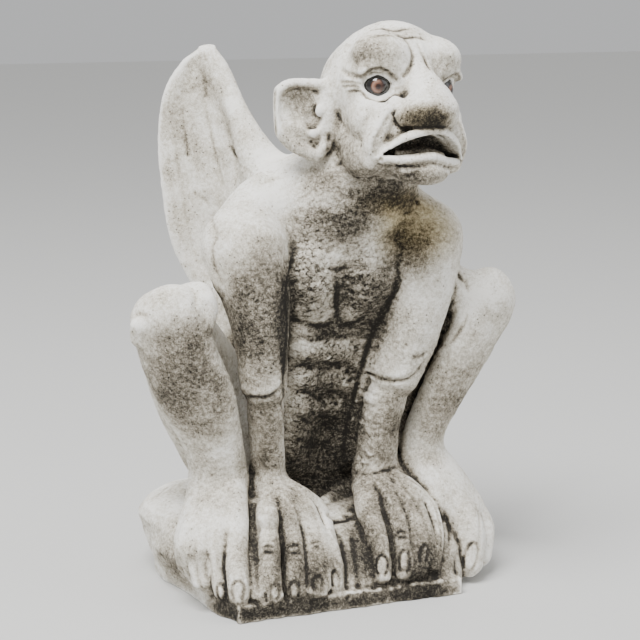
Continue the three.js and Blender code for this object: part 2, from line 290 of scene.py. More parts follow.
class Clay:
    """A block of clay, held as signed distances on a grid: negative inside, in millimetres."""

    def __init__(self, low: Point, high: Point, step: float) -> None:
        """Starts with an empty block.

        Args:
            low: the block's lowest corner.
            high: its highest corner.
            step: the distance between grid points.
        """
        self.low = np.asarray(low, float)
        self.step = step
        self.count = np.ceil((np.asarray(high) - self.low) / step).astype(int) + 1
        self.field = np.full(tuple(self.count), FAR, np.float32)
        self.grime_and_shade = np.zeros(tuple(self.count), np.float32)

    def window(self, low: np.ndarray, high: np.ndarray) -> Optional[Window]:
        """The cells between two corners.

        Args:
            low: the lowest corner.
            high: the highest corner.

        Returns:
            The window, or None where the block has no cells there.
        """
        first = np.maximum(np.floor((low - self.low) / self.step).astype(int), 0)
        last = np.minimum(np.ceil((high - self.low) / self.step).astype(int) + 1, self.count)
        if (first >= last).any():
            return None
        return Window(tuple(first), tuple(last), self.low, self.step)

    def add(self, shape: Egg | Strand, blend: float = 4.0, stand: Stand = WORLD) -> None:
        """Presses a shape on.

        Args:
            shape: the shape.
            blend: how widely the clay is smoothed over the join.
            stand: where the shape is modelled.
        """
        window, new = shape.distance(self, stand, blend + 5.0)
        if window is not None:
            self.merge(window, new, blend)

    def merge(self, window: Window, new: np.ndarray, blend: float) -> None:
        """Presses on a shape that is given by its distances.

        Args:
            window: the cells that it reaches.
            new: its signed distances there.
            blend: how widely the clay is smoothed over the join.
        """
        old = self.field[window.cells]
        share = np.clip(0.5 + 0.5 * (old - new) / blend, 0, 1)
        self.field[window.cells] = old + (new - old) * share - blend * share * (1 - share)

    def cut(self, shape: Egg | Strand, blend: float = 2.0, stand: Stand = WORLD) -> None:
        """Cuts a shape out.

        Args:
            shape: the shape.
            blend: how widely its rim is rounded.
            stand: where the shape is modelled.
        """
        window, new = shape.distance(self, stand, blend + 5.0)
        if window is None:
            return
        old = self.field[window.cells]
        new = -new
        share = np.clip(0.5 + 0.5 * (new - old) / blend, 0, 1)
        self.field[window.cells] = old + (new - old) * share + blend * share * (1 - share)

    def sample(self, points: np.ndarray, values: Optional[np.ndarray] = None) -> np.ndarray:
        """Reads the grid between its cells.

        Args:
            points: where to read it.
            values: the grid to read, or None for the distances.

        Returns:
            One value for each point.
        """
        grid = self.field if values is None else values
        place = (points - self.low) / self.step
        cell = np.clip(np.floor(place).astype(int), 0, self.count - 2)
        f = np.clip(place - cell, 0, 1)
        total = 0.0
        for i in (0, 1):
            for j in (0, 1):
                for m in (0, 1):
                    share = (
                        (f[:, 0] if i else 1 - f[:, 0])
                        * (f[:, 1] if j else 1 - f[:, 1])
                        * (f[:, 2] if m else 1 - f[:, 2])
                    )
                    total = total + share * grid[cell[:, 0] + i, cell[:, 1] + j, cell[:, 2] + m]
        return total

    def slope(self, points: np.ndarray) -> np.ndarray:
        """The direction out of the clay.

        Args:
            points: where it is wanted.

        Returns:
            One unit vector for each point.
        """
        out = np.empty_like(points)
        for i in range(3):
            shift = np.zeros(3)
            shift[i] = self.step
            out[:, i] = self.sample(points + shift) - self.sample(points - shift)
        return out / (np.linalg.norm(out, axis=1, keepdims=True) + 1e-9)

    def settle(self, points: np.ndarray) -> np.ndarray:
        """Moves points that are near the surface onto it.

        Args:
            points: the points.

        Returns:
            Their places on the surface.
        """
        spots = np.array(points, float)
        for _ in range(6):
            off = np.clip(self.sample(spots), -6, 6)
            spots -= self.slope(spots) * off[:, None]
        return spots

    def stroke(
        self, points: np.ndarray, width: float, depth: float, fade: bool = True, dirt_and_shade: float = 1.0
    ) -> None:
        """Draws a tool along the surface.

        Args:
            points: places near the surface that the tool passes.
            width: the half width of the mark.
            depth: how deep it is cut, or how high it stands if negative.
            fade: whether the mark runs out towards both ends.
            dirt_and_shade: how much dirt and painted shade gather in the mark.
        """
        path = np.asarray(points, float)
        path = smooth_path(path, STROKE_ROWS) if len(path) > 2 else path
        path = self.settle(path)
        reach = 3 * width
        window = self.window(path.min(axis=0) - reach, path.max(axis=0) + reach)
        if window is None:
            return
        near = np.full(window.shape, np.float32(reach), np.float32)
        share = np.zeros(window.shape, np.float32)
        total = len(path) - 1
        for i, (a, b) in enumerate(zip(path[:-1], path[1:])):
            part = self.window(np.minimum(a, b) - reach, np.maximum(a, b) + reach)
            if part is None:
                continue
            x, y, z = part.spread(a)
            line = b - a
            length = max(float(line @ line), 1e-6)
            t = np.clip((x * line[0] + y * line[1] + z * line[2]) / length, 0, 1)
            off = np.sqrt((x - t * line[0]) ** 2 + (y - t * line[1]) ** 2 + (z - t * line[2]) ** 2)
            inner = part.inside(window)
            closer = off < near[inner]
            near[inner] = np.where(closer, off, near[inner])
            share[inner] = np.where(closer, (i + t) / total, share[inner])
        run_out = np.sqrt(np.clip(4 * share * (1 - share), 0, 1)) if fade else 1.0
        self.field[window.cells] += depth * run_out * np.exp(-((near / width) ** 2))
        # Dirt and painted shade laid in the cut marks
        if depth > 0:
            stain_and_shade = dirt_and_shade * run_out * np.exp(-((near / (0.6 * width + 0.6)) ** 2))
            self.grime_and_shade[window.cells] = np.maximum(self.grime_and_shade[window.cells], stain_and_shade)

    def skin(self, reach: float) -> tuple:
        """The cells near the surface.

        Args:
            reach: how far from the surface they lie.

        Returns:
            Their indices and their places.
        """
        cells = np.nonzero(np.abs(self.field) < reach)
        places = np.stack(cells, axis=1) * self.step + self.low
        return cells, places

    def crowding(self, radius: float) -> np.ndarray:
        """How much of the space round each cell is stone: over half in a hollow, less on an edge.

        Args:
            radius: the size of the space, in millimetres.

        Returns:
            A grid like the clay's own.
        """
        share = np.clip(0.5 - self.field / (2 * self.step), 0, 1)
        cells = max(1, int(round(radius / self.step)))
        for axis in range(3):
            total = np.cumsum(share, axis=axis, dtype=np.float32)
            length = total.shape[axis]
            high = np.minimum(np.arange(length) + cells, length - 1)
            low = np.arange(length) - cells - 1
            upper = np.take(total, high, axis=axis)
            lower = np.take(total, np.maximum(low, 0), axis=axis)
            mask_shape = [-1 if i == axis else 1 for i in range(3)]
            lower *= (low >= 0).astype(np.float32).reshape(mask_shape)
            share = (upper - lower) / (2 * cells + 1)
        return share


# Chance, the same on every run

TABLE_SIDE = 64
CHANCE = np.random.RandomState(7).rand(TABLE_SIDE, TABLE_SIDE, TABLE_SIDE).astype(np.float32)
JITTER = np.random.RandomState(11).rand(TABLE_SIDE, TABLE_SIDE, TABLE_SIDE, 3).astype(np.float32)


def mottle(points: np.ndarray, size: Point | float, seed: int = 0) -> np.ndarray:
    """Smooth random values between -1 and 1.

    Args:
        points: where they are wanted, in millimetres.
        size: the width of a patch, the same each way or one for each axis.
        seed: picks another pattern.

    Returns:
        One value for each point.
    """
    place = points / np.asarray(size, float) + 17.31 * seed
    cell = np.floor(place).astype(int)
    f = (place - cell).astype(np.float32)
    f = f * f * (3 - 2 * f)
    total = 0.0
    for i in (0, 1):
        for j in (0, 1):
            for m in (0, 1):
                corner = (cell + [i, j, m]) % TABLE_SIDE
                value = CHANCE[corner[:, 0], corner[:, 1], corner[:, 2]]
                share = (
                    (f[:, 0] if i else 1 - f[:, 0])
                    * (f[:, 1] if j else 1 - f[:, 1])
                    * (f[:, 2] if m else 1 - f[:, 2])
                )
                total = total + share * value
    return 2 * total - 1


def pits(points: np.ndarray, size: Point | float, seed: int = 0) -> np.ndarray:
    """Distance to the nearest of many scattered spots.

    Args:
        points: where it is wanted, in millimetres.
        size: the spots' spacing, the same each way or one for each axis.
        seed: picks another pattern.

    Returns:
        One distance for each point, in shares of the spacing.
    """
    place = points / np.asarray(size, float) + 9.7 * seed
    cell = np.floor(place - 0.5).astype(int)
    best = np.full(len(points), 9.0)
    for i in (0, 1):
        for j in (0, 1):
            for m in (0, 1):
                corner = cell + [i, j, m]
                wrapped = corner % TABLE_SIDE
                spot = corner + 0.15 + 0.7 * JITTER[wrapped[:, 0], wrapped[:, 1], wrapped[:, 2]]
                best = np.minimum(best, ((place - spot) ** 2).sum(axis=1))
    return np.sqrt(best)


def ramp(value: np.ndarray, low: float, high: float) -> np.ndarray:
    """Rises smoothly from 0 at low to 1 at high."""
    t = np.clip((value - low) / (high - low), 0, 1)
    return t * t * (3 - 2 * t)


# The camera of the photograph


@dataclass(frozen=True)
class Viewpoint:
    """The camera, in millimetres and degrees, with its lens in pixels of a 640 pixel frame."""

    spot: Point = (-524.4, -1298.1, 441.6)
    heading: float = 22.55
    pitch: float = 10.43
    lens: float = 1961.1
    frame: int = 640

    def axes(self) -> tuple:
        """The directions to the right, up and ahead."""
        h, p = math.radians(self.heading), math.radians(self.pitch)
        ahead = np.array([math.sin(h) * math.cos(p), math.cos(h) * math.cos(p), -math.sin(p)])
        right = np.array([math.cos(h), -math.sin(h), 0.0])
        return right, np.cross(right, ahead), ahead

    def touch(self, clay: Clay, pixels: Sequence[Point]) -> np.ndarray:
        """Where the camera's rays meet the clay.

        Args:
            clay: the clay.
            pixels: places in the frame, from its top left corner.

        Returns:
            One point for each pixel.
        """
        right, up, ahead = self.axes()
        spots = np.asarray(pixels, float) - self.frame / 2
        rays = ahead * self.lens + spots[:, :1] * right - spots[:, 1:] * up
        rays /= np.linalg.norm(rays, axis=1, keepdims=True)
        start = np.asarray(self.spot)
        near = np.full(len(rays), 1050.0)
        for _ in range(260):
            off = clay.sample(start + rays * near[:, None])
            near += np.where(off > 10, 4.0, 0.6 * off)
            if (np.abs(off) < 0.02).all():
                break
        return start + rays * near[:, None]

    def make(self) -> bpy.types.Object:
        """Creates the camera and makes it the scene's own."""
        data = bpy.data.cameras.new("camera")
        data.sensor_width = 36.0
        data.lens = 36.0 * self.lens / self.frame
        data.clip_start = 0.05
        data.dof.use_dof = False
        camera = bpy.data.objects.new("camera", data)
        bpy.context.scene.collection.objects.link(camera)
        camera.location = [c * MM for c in self.spot]
        camera.rotation_euler = (math.radians(90 - self.pitch), 0, math.radians(-self.heading))
        bpy.context.scene.camera = camera
        return camera


VIEW = Viewpoint()


@dataclass(frozen=True)
class Trace:
    """A form drawn over the photograph and laid on the clay, such as a finger over the rock.

    Args:
        path: its middle line and half width, in pixels of the photograph, and its own lift if it has one.
        lift: how far its middle lies outside the surface, in shares of the half width.
        flat: its half depth in shares of its half width.
    """

    path: Sequence[Point]
    lift: float = 0.0
    flat: float = 1.0

    def strand(self, clay: Clay) -> Strand:
        """The form as a strand in the figure's coordinates."""
        rows = np.array(self.path, float)
        spots = VIEW.touch(clay, rows[:, :2])
        right, up, ahead = VIEW.axes()
        scale = ((spots - np.asarray(VIEW.spot)) @ ahead / VIEW.lens)[:, None]
        half = rows[:, 2:3] * scale
        lift = rows[:, 3:4] if rows.shape[1] > 3 else self.lift
        out = clay.slope(spots)
        out = out * 0.5 - ahead * 0.5
        out /= np.linalg.norm(out, axis=1, keepdims=True)
        spots = spots + out * half * lift
        run = rows[-1, :2] - rows[0, :2]
        across = right * -run[1] + up * -run[0]
        across = across / np.linalg.norm(across)
        stations = np.hstack([spots, half, half * self.flat])
        return Strand([tuple(row) for row in stations], tuple(across))


def lay(clay: Clay, traces: Sequence[Trace], blend: float) -> None:
    """Lays traced forms on the clay, all of them measured before the first is added.

    Args:
        clay: the clay.
        traces: the forms.
        blend: how widely the clay is smoothed over the joins.
    """
    for strand in [trace.strand(clay) for trace in traces]:
        clay.add(strand, blend)


def draw(clay: Clay, lines: Sequence[Sequence[Point]], width: float, depth: float, dirt_and_shade: float = 1.0) -> None:
    """Tools lines that are drawn over the photograph.

    Args:
        clay: the clay.
        lines: each line's places, in pixels.
        width: the marks' half width in millimetres.
        depth: their depth in millimetres, negative for ridges.
        dirt_and_shade: how much dirt and painted shade gather in them.
    """
    for line in lines:
        clay.stroke(VIEW.touch(clay, line), width, depth, dirt_and_shade=dirt_and_shade)


def oval(centre: Point, half: Point, start: float = 0.0, stop: float = 360.0, lean: float = 0.0) -> list:
    """Places round an oval in the photograph, in pixels.

    Args:
        centre: its middle.
        half: its half width and half height.
        start: where it begins, in degrees clockwise from the right.
        stop: where it ends.
        lean: its turn clockwise, in degrees.

    Returns:
        The places, one after the other.
    """
    angles = np.radians(np.linspace(start, stop, 13))
    c, s = math.cos(math.radians(lean)), math.sin(math.radians(lean))
    x, y = half[0] * np.cos(angles), half[1] * np.sin(angles)
    return [(centre[0] + c * i - s * j, centre[1] + s * i + c * j) for i, j in zip(x, y)]


# The rock


@dataclass
class Rock:
    """The low rock, with a square-edged lip along its front."""

    lip_height: float = 12.0
    lip_half: float = 84.0
    lip_back: float = 47.5
    squareness: float = 16.0
    levels: Sequence[dict] = field(
        default_factory=lambda: [
            {"z": -9, "front": -106, "back": 84, "front_half": 82, "middle": 103, "back_half": 84},
            {"z": 12, "front": -106, "back": 85, "front_half": 82, "middle": 108, "back_half": 86},
            {"z": 28, "front": -99, "back": 88, "front_half": 84, "middle": 116, "back_half": 88},
            {"z": 44, "front": -84, "back": 86, "front_half": 80, "middle": 117, "back_half": 86},
            {"z": 52, "front": -66, "back": 80, "front_half": 74, "middle": 112, "back_half": 78},
            {"z": 58, "front": -48, "back": 62, "front_half": 58, "middle": 98, "back_half": 62},
        ]
    )

    def carve(self, clay: Clay) -> None:
        """Adds the rock to the clay."""
        window = clay.window(np.array([-135.0, -125, -12]), np.array([135.0, 105, 72]))
        x, y, z = window.spread()
        heights = np.array([level["z"] for level in self.levels], float)

        def at(name: str) -> np.ndarray:
            """One of the levels' sizes at every height of the grid."""
            return np.interp(z, heights, [level[name] for level in self.levels]).astype(np.float32)

        middle = (at("front") + at("back")) / 2
        depth = (at("back") - at("front")) / 2
        ahead = (y - middle) / depth
        half = np.where(ahead < 0, at("front_half"), at("back_half"))
        width = at("middle") + (half - at("middle")) * np.clip(np.abs(ahead), 0, 1) ** 2
        wave = 3.5 * np.sin(y * 0.055 + z * 0.05 + 0.6) * np.sin(z * 0.07 + 1.1)
        p = self.squareness
        shift = np.where(ahead < 0, -6 * np.clip(-ahead, 0, 1) ** 2, 0)
        spread = (np.abs((x - shift) / (width + wave)) ** p + np.abs(ahead) ** p) ** (1 / p)
        distance = (spread - 1) * np.minimum(width, depth)
        distance = np.maximum(distance, z - heights[-1])
        clay.merge(window, distance.astype(np.float32), 4.0)

    def edge(self, clay: Clay) -> None:
        """Adds the lip along the front."""
        window = clay.window(np.array([-135.0, -125, -12]), np.array([135.0, 105, 30]))
        x, y, z = window.spread()
        half = self.lip_half + 0.1 * (y + 109)
        beside = np.maximum(np.abs(x + 6) - half, np.abs(y + 62) - self.lip_back)
        lip = np.maximum(beside, z - self.lip_height)
        clay.merge(window, lip.astype(np.float32), 2.4)

    def level(self, clay: Clay) -> None:
        """Cuts the underside flat."""
        cells = clay.window(np.array([-200.0, -200, -20]), np.array([200.0, 200, 20]))
        level = cells.spread()[2]
        clay.field[cells.cells] = np.maximum(clay.field[cells.cells], -level)


# The body


@dataclass
class Trunk:
    """Chest, belly, neck and shoulders."""

    def carve(self, clay: Clay) -> None:
        """Adds the trunk to the clay."""
        clay.add(
            Strand(
                [
                    (2, 20, 66, 56, 47),
                    (3, 12, 118, 49, 42),
                    (4, -6, 172, 52, 43),
                    (5, -24, 228, 58, 44),
                    (5, -30, 262, 48, 34),
                ]
            ),
            6,
        )
        clay.add(
            Strand([(8, -38, 254, 54, 38), (18, -50, 282, 45, 37), (29, -62, 306, 35, 34),
                (33, -68, 326, 32, 32)]),
            10,
        )
        clay.add(
            Strand(
                [(-70, -50, 252, 20), (-40, -38, 274, 23), (4, -30, 284, 26), (42, -38, 275, 23),
                    (76, -52, 252, 19)],
                across=(0, 0, 1),
            ),
            14,
        )
        for s in (-1, 1):
            clay.add(Egg((9 + s * 19, -60, 232), (19, 12, 24), (0, 0, 0)), 7)
            clay.add(Strand([(9 + s * 10, -68, 262, 7, 5), (14 + s * 22, -72, 284, 6, 5)]), 8)
        for s, x in ((-1, -24), (1, 40)):
            side = [(x, -46, 258, 15), (x, -50, 224, 16), (x, -44, 180, 15)]
            side += [(x - s * 3, -30, 130, 16), (x - s * 6, -18, 90, 18)]
            clay.add(Strand(side), 10)
        clay.add(Egg((3, 38, 92), (58, 34, 34)), 12)


@dataclass
class Arm:
    """One arm, from the shoulder to the wrist, with a hairy upper arm that ends in a cuff."""

    upper: Sequence[Station]
    fore: Sequence[Station]
    shoulder: Point
    elbow: Point

    def carve(self, clay: Clay) -> None:
        """Adds the arm to the clay."""
        clay.add(Egg(self.shoulder, (26, 26, 27)), 14)
        clay.add(Strand(self.upper), 7)
        clay.add(Strand(self.fore), 2)
        clay.add(Egg(self.elbow, (13, 14, 18)), 6)


@dataclass(frozen=True)
class Nail:
    """A nail, as an oval over the photograph: its middle, half sizes and turn clockwise in degrees."""

    centre: Point
    half: Point
    lean: float = 0.0

    def finish(self, clay: Clay) -> None:
        """Tools the groove round the nail."""
        rim = oval(self.centre, self.half, 130, 410, self.lean)
        clay.stroke(VIEW.touch(clay, rim), 0.8, 1.6, fade=False, dirt_and_shade=0.85)


@dataclass
class Paw:
    """A hand or foot: its back, its digits laid over the rock, and the marks on them."""

    back: Sequence[Station]
    digits: Sequence[Trace]
    nails: Sequence[Nail]
    creases: Sequence[Sequence[Point]] = ()
    grooves: Sequence[Sequence[Point]] = ()
    tendons: Sequence[Sequence[Point]] = ()
    hidden: Sequence[Sequence[Station]] = ()
    across: Point = (1.0, 0.0, 0.0)

    def carve(self, clay: Clay) -> None:
        """Adds the back, the digits out of the photograph's sight, then those in it."""
        clay.add(Strand(self.back, self.across), 5)
        for joints in self.hidden:
            clay.add(Strand(joints), 3)
        lay(clay, self.digits, 3.6)

    def finish(self, clay: Clay) -> None:
        """Tools the tendons, the grooves between the digits, the creases and the nails."""
        draw(clay, self.tendons, 2.2, -1.3)
        draw(clay, self.grooves, 1.0, 1.2, 0.25)
        draw(clay, self.creases, 0.8, 1.3)
        for nail in self.nails:
            nail.finish(clay)


@dataclass
class Leg:
    """One leg, folded: thigh, knee and shin."""

    thigh: Sequence[Station]
    shin: Sequence[Station]
    knee: Point
    side: int

    def carve(self, clay: Clay) -> None:
        """Adds the leg to the clay."""
        s = self.side
        clay.add(Strand(self.thigh, across=(0, 0, 1)), 8)
        clay.add(Strand(self.shin, across=(0.87, s * 0.5, 0)), 6)
        x, y, z = self.knee
        clay.add(Egg((x + s * 4, y, z + 1), (17, 13, 20)), 6)
        clay.add(Egg((x - s * 15, y + 8, z + 4), (14, 14, 17)), 7)
        clay.add(Egg((x + s * 12, y + 8, z - 8), (13, 14, 20)), 6)


@dataclass
class Wing:
    """A folded wing: a thin ribbed panel with a thick leading edge."""

    side: int
    thickness: float = 9.0
    inner: Sequence[Point] = (
        (34, 26, 200), (30, 18, 244), (28, 6, 290), (34, 12, 326), (40, 22, 352), (48, 31, 372),
            (54, 36, 379)
    )
    outer: Sequence[Point] = (
        (66, 43, 203), (82, 48, 230), (89, 50, 268), (91, 50, 306), (88, 46, 340), (76, 41, 366),
            (62, 37, 379)
    )
    edge: Sequence[Station] = (
        (20, -20, 282, 19, 16), (33, -2, 303, 14, 12), (43, 14, 334, 8, 7.5), (51, 28, 362, 6, 5.5),
            (57, 35, 375, 5, 4.5)
    )
    root: Sequence[Station] = (
        (28, 2, 288, 17, 16), (34, 18, 240, 16, 14), (42, 28, 196, 18, 12), (48, 30, 164, 14, 10)
    )

    def mirrored(self, rows: Sequence[Station]) -> np.ndarray:
        """The rows on this wing's side."""
        return np.array(rows, float) * ([self.side] + [1] * (len(rows[0]) - 1))

    def carve(self, clay: Clay) -> None:
        """Adds the wing to the clay."""
        rows = 7
        inner = smooth_path(self.mirrored(self.inner), rows)
        outer = smooth_path(self.mirrored(self.outer), rows)
        reach = np.array([14.0, 14, 14])
        both = np.vstack([inner, outer])
        window = clay.window(both.min(axis=0) - reach, both.max(axis=0) + reach)
        x, y, z = window.spread()
        heights = inner[:, 2] * 0.5 + outer[:, 2] * 0.5

        def at(edge: np.ndarray, axis: int) -> np.ndarray:
            """One coordinate of an edge at every height of the grid."""
            return np.interp(z, heights, edge[:, axis]).astype(np.float32)

        ix, iy, ox, oy = at(inner, 0), at(inner, 1), at(outer, 0), at(outer, 1)
        length = np.sqrt((ox - ix) ** 2 + (oy - iy) ** 2) + 1e-3
        cx, cy = (ox - ix) / length, (oy - iy) / length
        along = (x - ix) * cx + (y - iy) * cy
        off = (x - ix) * -cy + (y - iy) * cx
        off = off * self.side
        u = np.clip(along / length, 0, 1)
        t = np.clip((z - heights[0]) / (heights[-1] - heights[0]), 0, 1)
        hollow = 6 * np.sin(math.pi * u) * np.sin(math.pi * t)
        rib = 0.75 * np.cos(2 * math.pi * 3.5 * u) * ramp(t, 0.0, 0.2) * ramp(t, 1.0, 0.8)
        half = self.thickness / 2 * (1 - 0.25 * u * u) + rib
        flat = np.abs(off - hollow) - half
        beside = np.maximum(along - length, -along)
        above = np.maximum(z - heights[-1], heights[0] - z)
        rim = np.maximum(beside, above) + half
        corner = np.sqrt(np.maximum(flat + half, 0) ** 2 + np.maximum(rim, 0) ** 2) - half
        clay.merge(window, np.maximum(corner, flat).astype(np.float32), 4.0)
        across = (0.9, self.side * 0.4, 0)
        clay.add(Strand(self.mirrored(self.edge), across), 10)
        clay.add(Strand(self.mirrored(self.root), across), 8)


@dataclass
class Head:
    """The bald head, modelled upright about the height of its eyes, then tilted and turned."""

    stand: Stand = Stand((33, -76, 355), tilt=5, turn=12)
    eye: Point = (26.7, -23.5, 1.8)
    outward: float = 28.0
    eye_radius: float = 9.0

    def both(self, clay: Clay, make: Callable[[int], Egg | Strand], blend: float, cut: bool = False) -> None:
        """Adds or cuts a shape on both sides of the face.

        Args:
            clay: the clay.
            make: gives the shape of the side whose sign of x it is told.
            blend: how widely the clay is smoothed.
            cut: whether the shape is cut out.
        """
        for s in (-1, 1):
            if cut:
                clay.cut(make(s), blend, self.stand)
            else:
                clay.add(make(s), blend, self.stand)

    def carve(self, clay: Clay) -> None:
        """Adds the head's masses."""
        h = self.stand
        clay.add(Egg((0, 6, 0), (42, 44, 38)), 8, h)
        clay.add(Egg((0, -4, 13), (34, 32, 32.5)), 12, h)
        clay.add(Egg((0, 2, -34), (37, 36, 26)), 8, h)
        clay.add(Egg((0, -24, -40), (38, 29, 20)), 6, h)
        clay.add(Egg((0, -14, -16), (38, 26, 26)), 6, h)
        self.both(clay, lambda s: Egg((s * 22, -19, 22.5), (20.5, 18.5, 14.5), (0, 0, s * 8)), 5.5)
        self.both(clay, lambda s: Strand([(s * 8, -28, 12, 5), (s * 22, -31, 13.5, 5.5),
            (s * 38, -25, 11, 5)]), 6)
        self.both(clay, lambda s: Egg((s * 31, -12, 4), (10.5, 14.5, 17)), 6)
        self.both(clay, lambda s: Egg((s * 31, -24, -22), (13, 14, 17)), 6)
        clay.add(Strand([(0, -26, 24, 5, 8), (0, -30, 14, 7, 9), (0, -37, 6, 10, 11),
            (0, -46, -4, 14.5, 14)]), 5, h)
        clay.add(Egg((0, -50.5, -11.5), (20, 15.5, 14)), 4, h)
        self.both(clay, lambda s: Egg((s * 17, -44, -15.5), (8.5, 10, 9)), 4.5)
        self.both(clay, lambda s: Egg((s * 19, -35.5, -27), (9, 9, 8)), 5)
        self.both(
            clay,
            lambda s: Strand([(s * 22, -38, -8, 3), (s * 30, -38, -20, 5), (s * 36, -37, -34, 6),
                (s * 35, -34, -48, 5)]),
            5,
        )
        clay.add(Egg((0, -44, -52), (22, 14, 10)), 5, h)
        clay.add(Egg((0, -52, -53), (10, 7, 7)), 4, h)
        self.both(clay, lambda s: Egg((s * 30, -18, -46), (12, 18, 14)), 6)

    def face(self, clay: Clay) -> None:
        """Cuts the mouth and the eye sockets, and adds lips, a tongue and lids."""
        h = self.stand
        arch = [(-28, -41, -43, 2.6, 9), (-15, -50, -36.5, 5, 13), (0, -54, -33, 6.4, 16),
            (15, -50, -36.5, 5, 13), (28, -41, -43, 2.6, 9)]
        upper = [(-32, -42, -44, 2.6), (-20, -51, -31.5, 3.6), (0, -56, -24.5, 4), (20, -51, -31.5, 3.6),
            (32, -42, -44, 2.6)]
        lower = [(-31, -42, -46, 2.6), (-16, -51, -45.5, 3), (0, -56, -42.5, 3.4), (16, -51, -45.5, 3),
            (31, -42, -46, 2.6)]
        clay.add(Strand(upper, across=(0, 0, 1)), 5, h)
        clay.cut(Strand(arch, across=(0, 0, 1)), 1.6, h)
        clay.add(Strand(lower, across=(0, 0, 1)), 2, h)
        tongue = [(-16, -36, -42, 3, 8), (0, -42, -39.5, 3.4, 9), (16, -36, -42, 3, 8)]
        clay.add(Strand(tongue, across=(0, 0, 1)), 2, h)
        ex, ey, ez = self.eye
        r = self.eye_radius
        out = math.radians(self.outward)

        def near_eye(s: int, turn: float, reach: float, z: float) -> tuple:
            """A place round the eye, by its turn from straight ahead of it, its reach and its height."""
            return s * (ex + reach * math.sin(out + turn)), ey - reach * math.cos(out + turn), ez + z

        self.both(clay, lambda s: Egg((s * 15.5, -29.5, -2), (4.5, 4.5, 5.5)), 4)
        self.both(clay, lambda s: Egg(near_eye(s, 0.08, 9, 0), (10.8, 9, 9.3), (0, 0, s * self.outward)),
            2.5, cut=True)
        lid = r + 1.1
        for height, thick in ((1, 1.7), (-1, 1.4)):
            arc = [(-math.radians(88), 13.5, height * 0.6)]
            for turn in np.radians(np.linspace(-74, 80, 11)):
                lift = height * math.radians(56) * max(math.cos(turn * 90 / 84), 0) ** 0.8
                arc.append((turn, lid * math.cos(lift), lid * math.sin(lift)))
            self.both(clay, lambda s: Strand([near_eye(s, *spot) + (thick,) for spot in arc]), 1.2)
        self.both(clay, lambda s: Egg((s * ex, ey, ez), [r + 0.3] * 3), 0.5, cut=True)

    def finish(self, clay: Clay) -> None:
        """Makes the whole head, with its face, ears and wrinkles."""
        self.carve(clay)
        self.face(clay)
        for s in (-1, 1):
            self.ear(clay, s)
        self.wrinkle(clay)

    def wrinkle(self, clay: Clay) -> None:
        """Tools the folds and wrinkles of the near side, and their mirror images on the far side."""
        for line, width, depth, dirt_and_shade in FACE_LINES:
            near = VIEW.touch(clay, line)
            clay.stroke(near, width, depth, dirt_and_shade=dirt_and_shade)
            clay.stroke(self.stand.place(self.stand.own(near) * [-1, 1, 1]), width, depth, dirt_and_shade=dirt_and_shade)
        for line, width, depth, dirt_and_shade in FAR_FACE_LINES:
            clay.stroke(VIEW.touch(clay, line), width, depth, dirt_and_shade=dirt_and_shade)

    def ear(self, clay: Clay, s: int) -> None:
        """Adds one ear: a broad dish with a rolled rim, swept back and cut hollow.

        Args:
            clay: the clay.
            s: the sign of x on its side.
        """
        h = self.stand

        def at(out: float, ahead: float, z: float) -> tuple:
            """A place in the ear, by how far it lies out along it, ahead of it and up."""
            sweep = math.radians(27)
            return (
                s * (41 + out * math.cos(sweep) + ahead * math.sin(sweep)),
                13 + out * math.sin(sweep) - ahead * math.cos(sweep),
                z,
            )

        lean = (0, 0, s * 27)
        clay.add(Egg(at(18, -2, -17), (19, 4.5, 18), lean), 3, h)
        clay.add(Egg(at(14, -1, -31), (16, 5, 17), lean), 3, h)
        rim = [(1, 0, -1, 4), (13, 1, -0.5, 3.6), (26, 1, -2, 3.8), (33, 0, -8, 4), (35, 0, -18, 4),
            (33, 0, -29, 4)]
        rim += [(25, 0, -39, 4.2), (14, 1, -45, 4.6), (5, 1, -48, 4.6), (-1, 1, -42, 4)]
        clay.add(Strand([at(*p[:3]) + (p[3],) for p in rim], across=(0, 1, 0)), 2.5, h)
        clay.add(Egg(at(-3, -2, -18), (9, 8, 24), lean), 5, h)
        clay.cut(Egg(at(19, 5, -16), (13, 6.5, 13), lean), 2.5, h)
        clay.cut(Egg(at(9, 5, -23), (7, 7, 10), lean), 2, h)
        clay.add(Egg(at(4, 3, -18), (3, 3, 4), lean), 1.5, h)
        clay.add(Egg(at(8, 3, -34), (4, 3, 3), lean), 1.5, h)
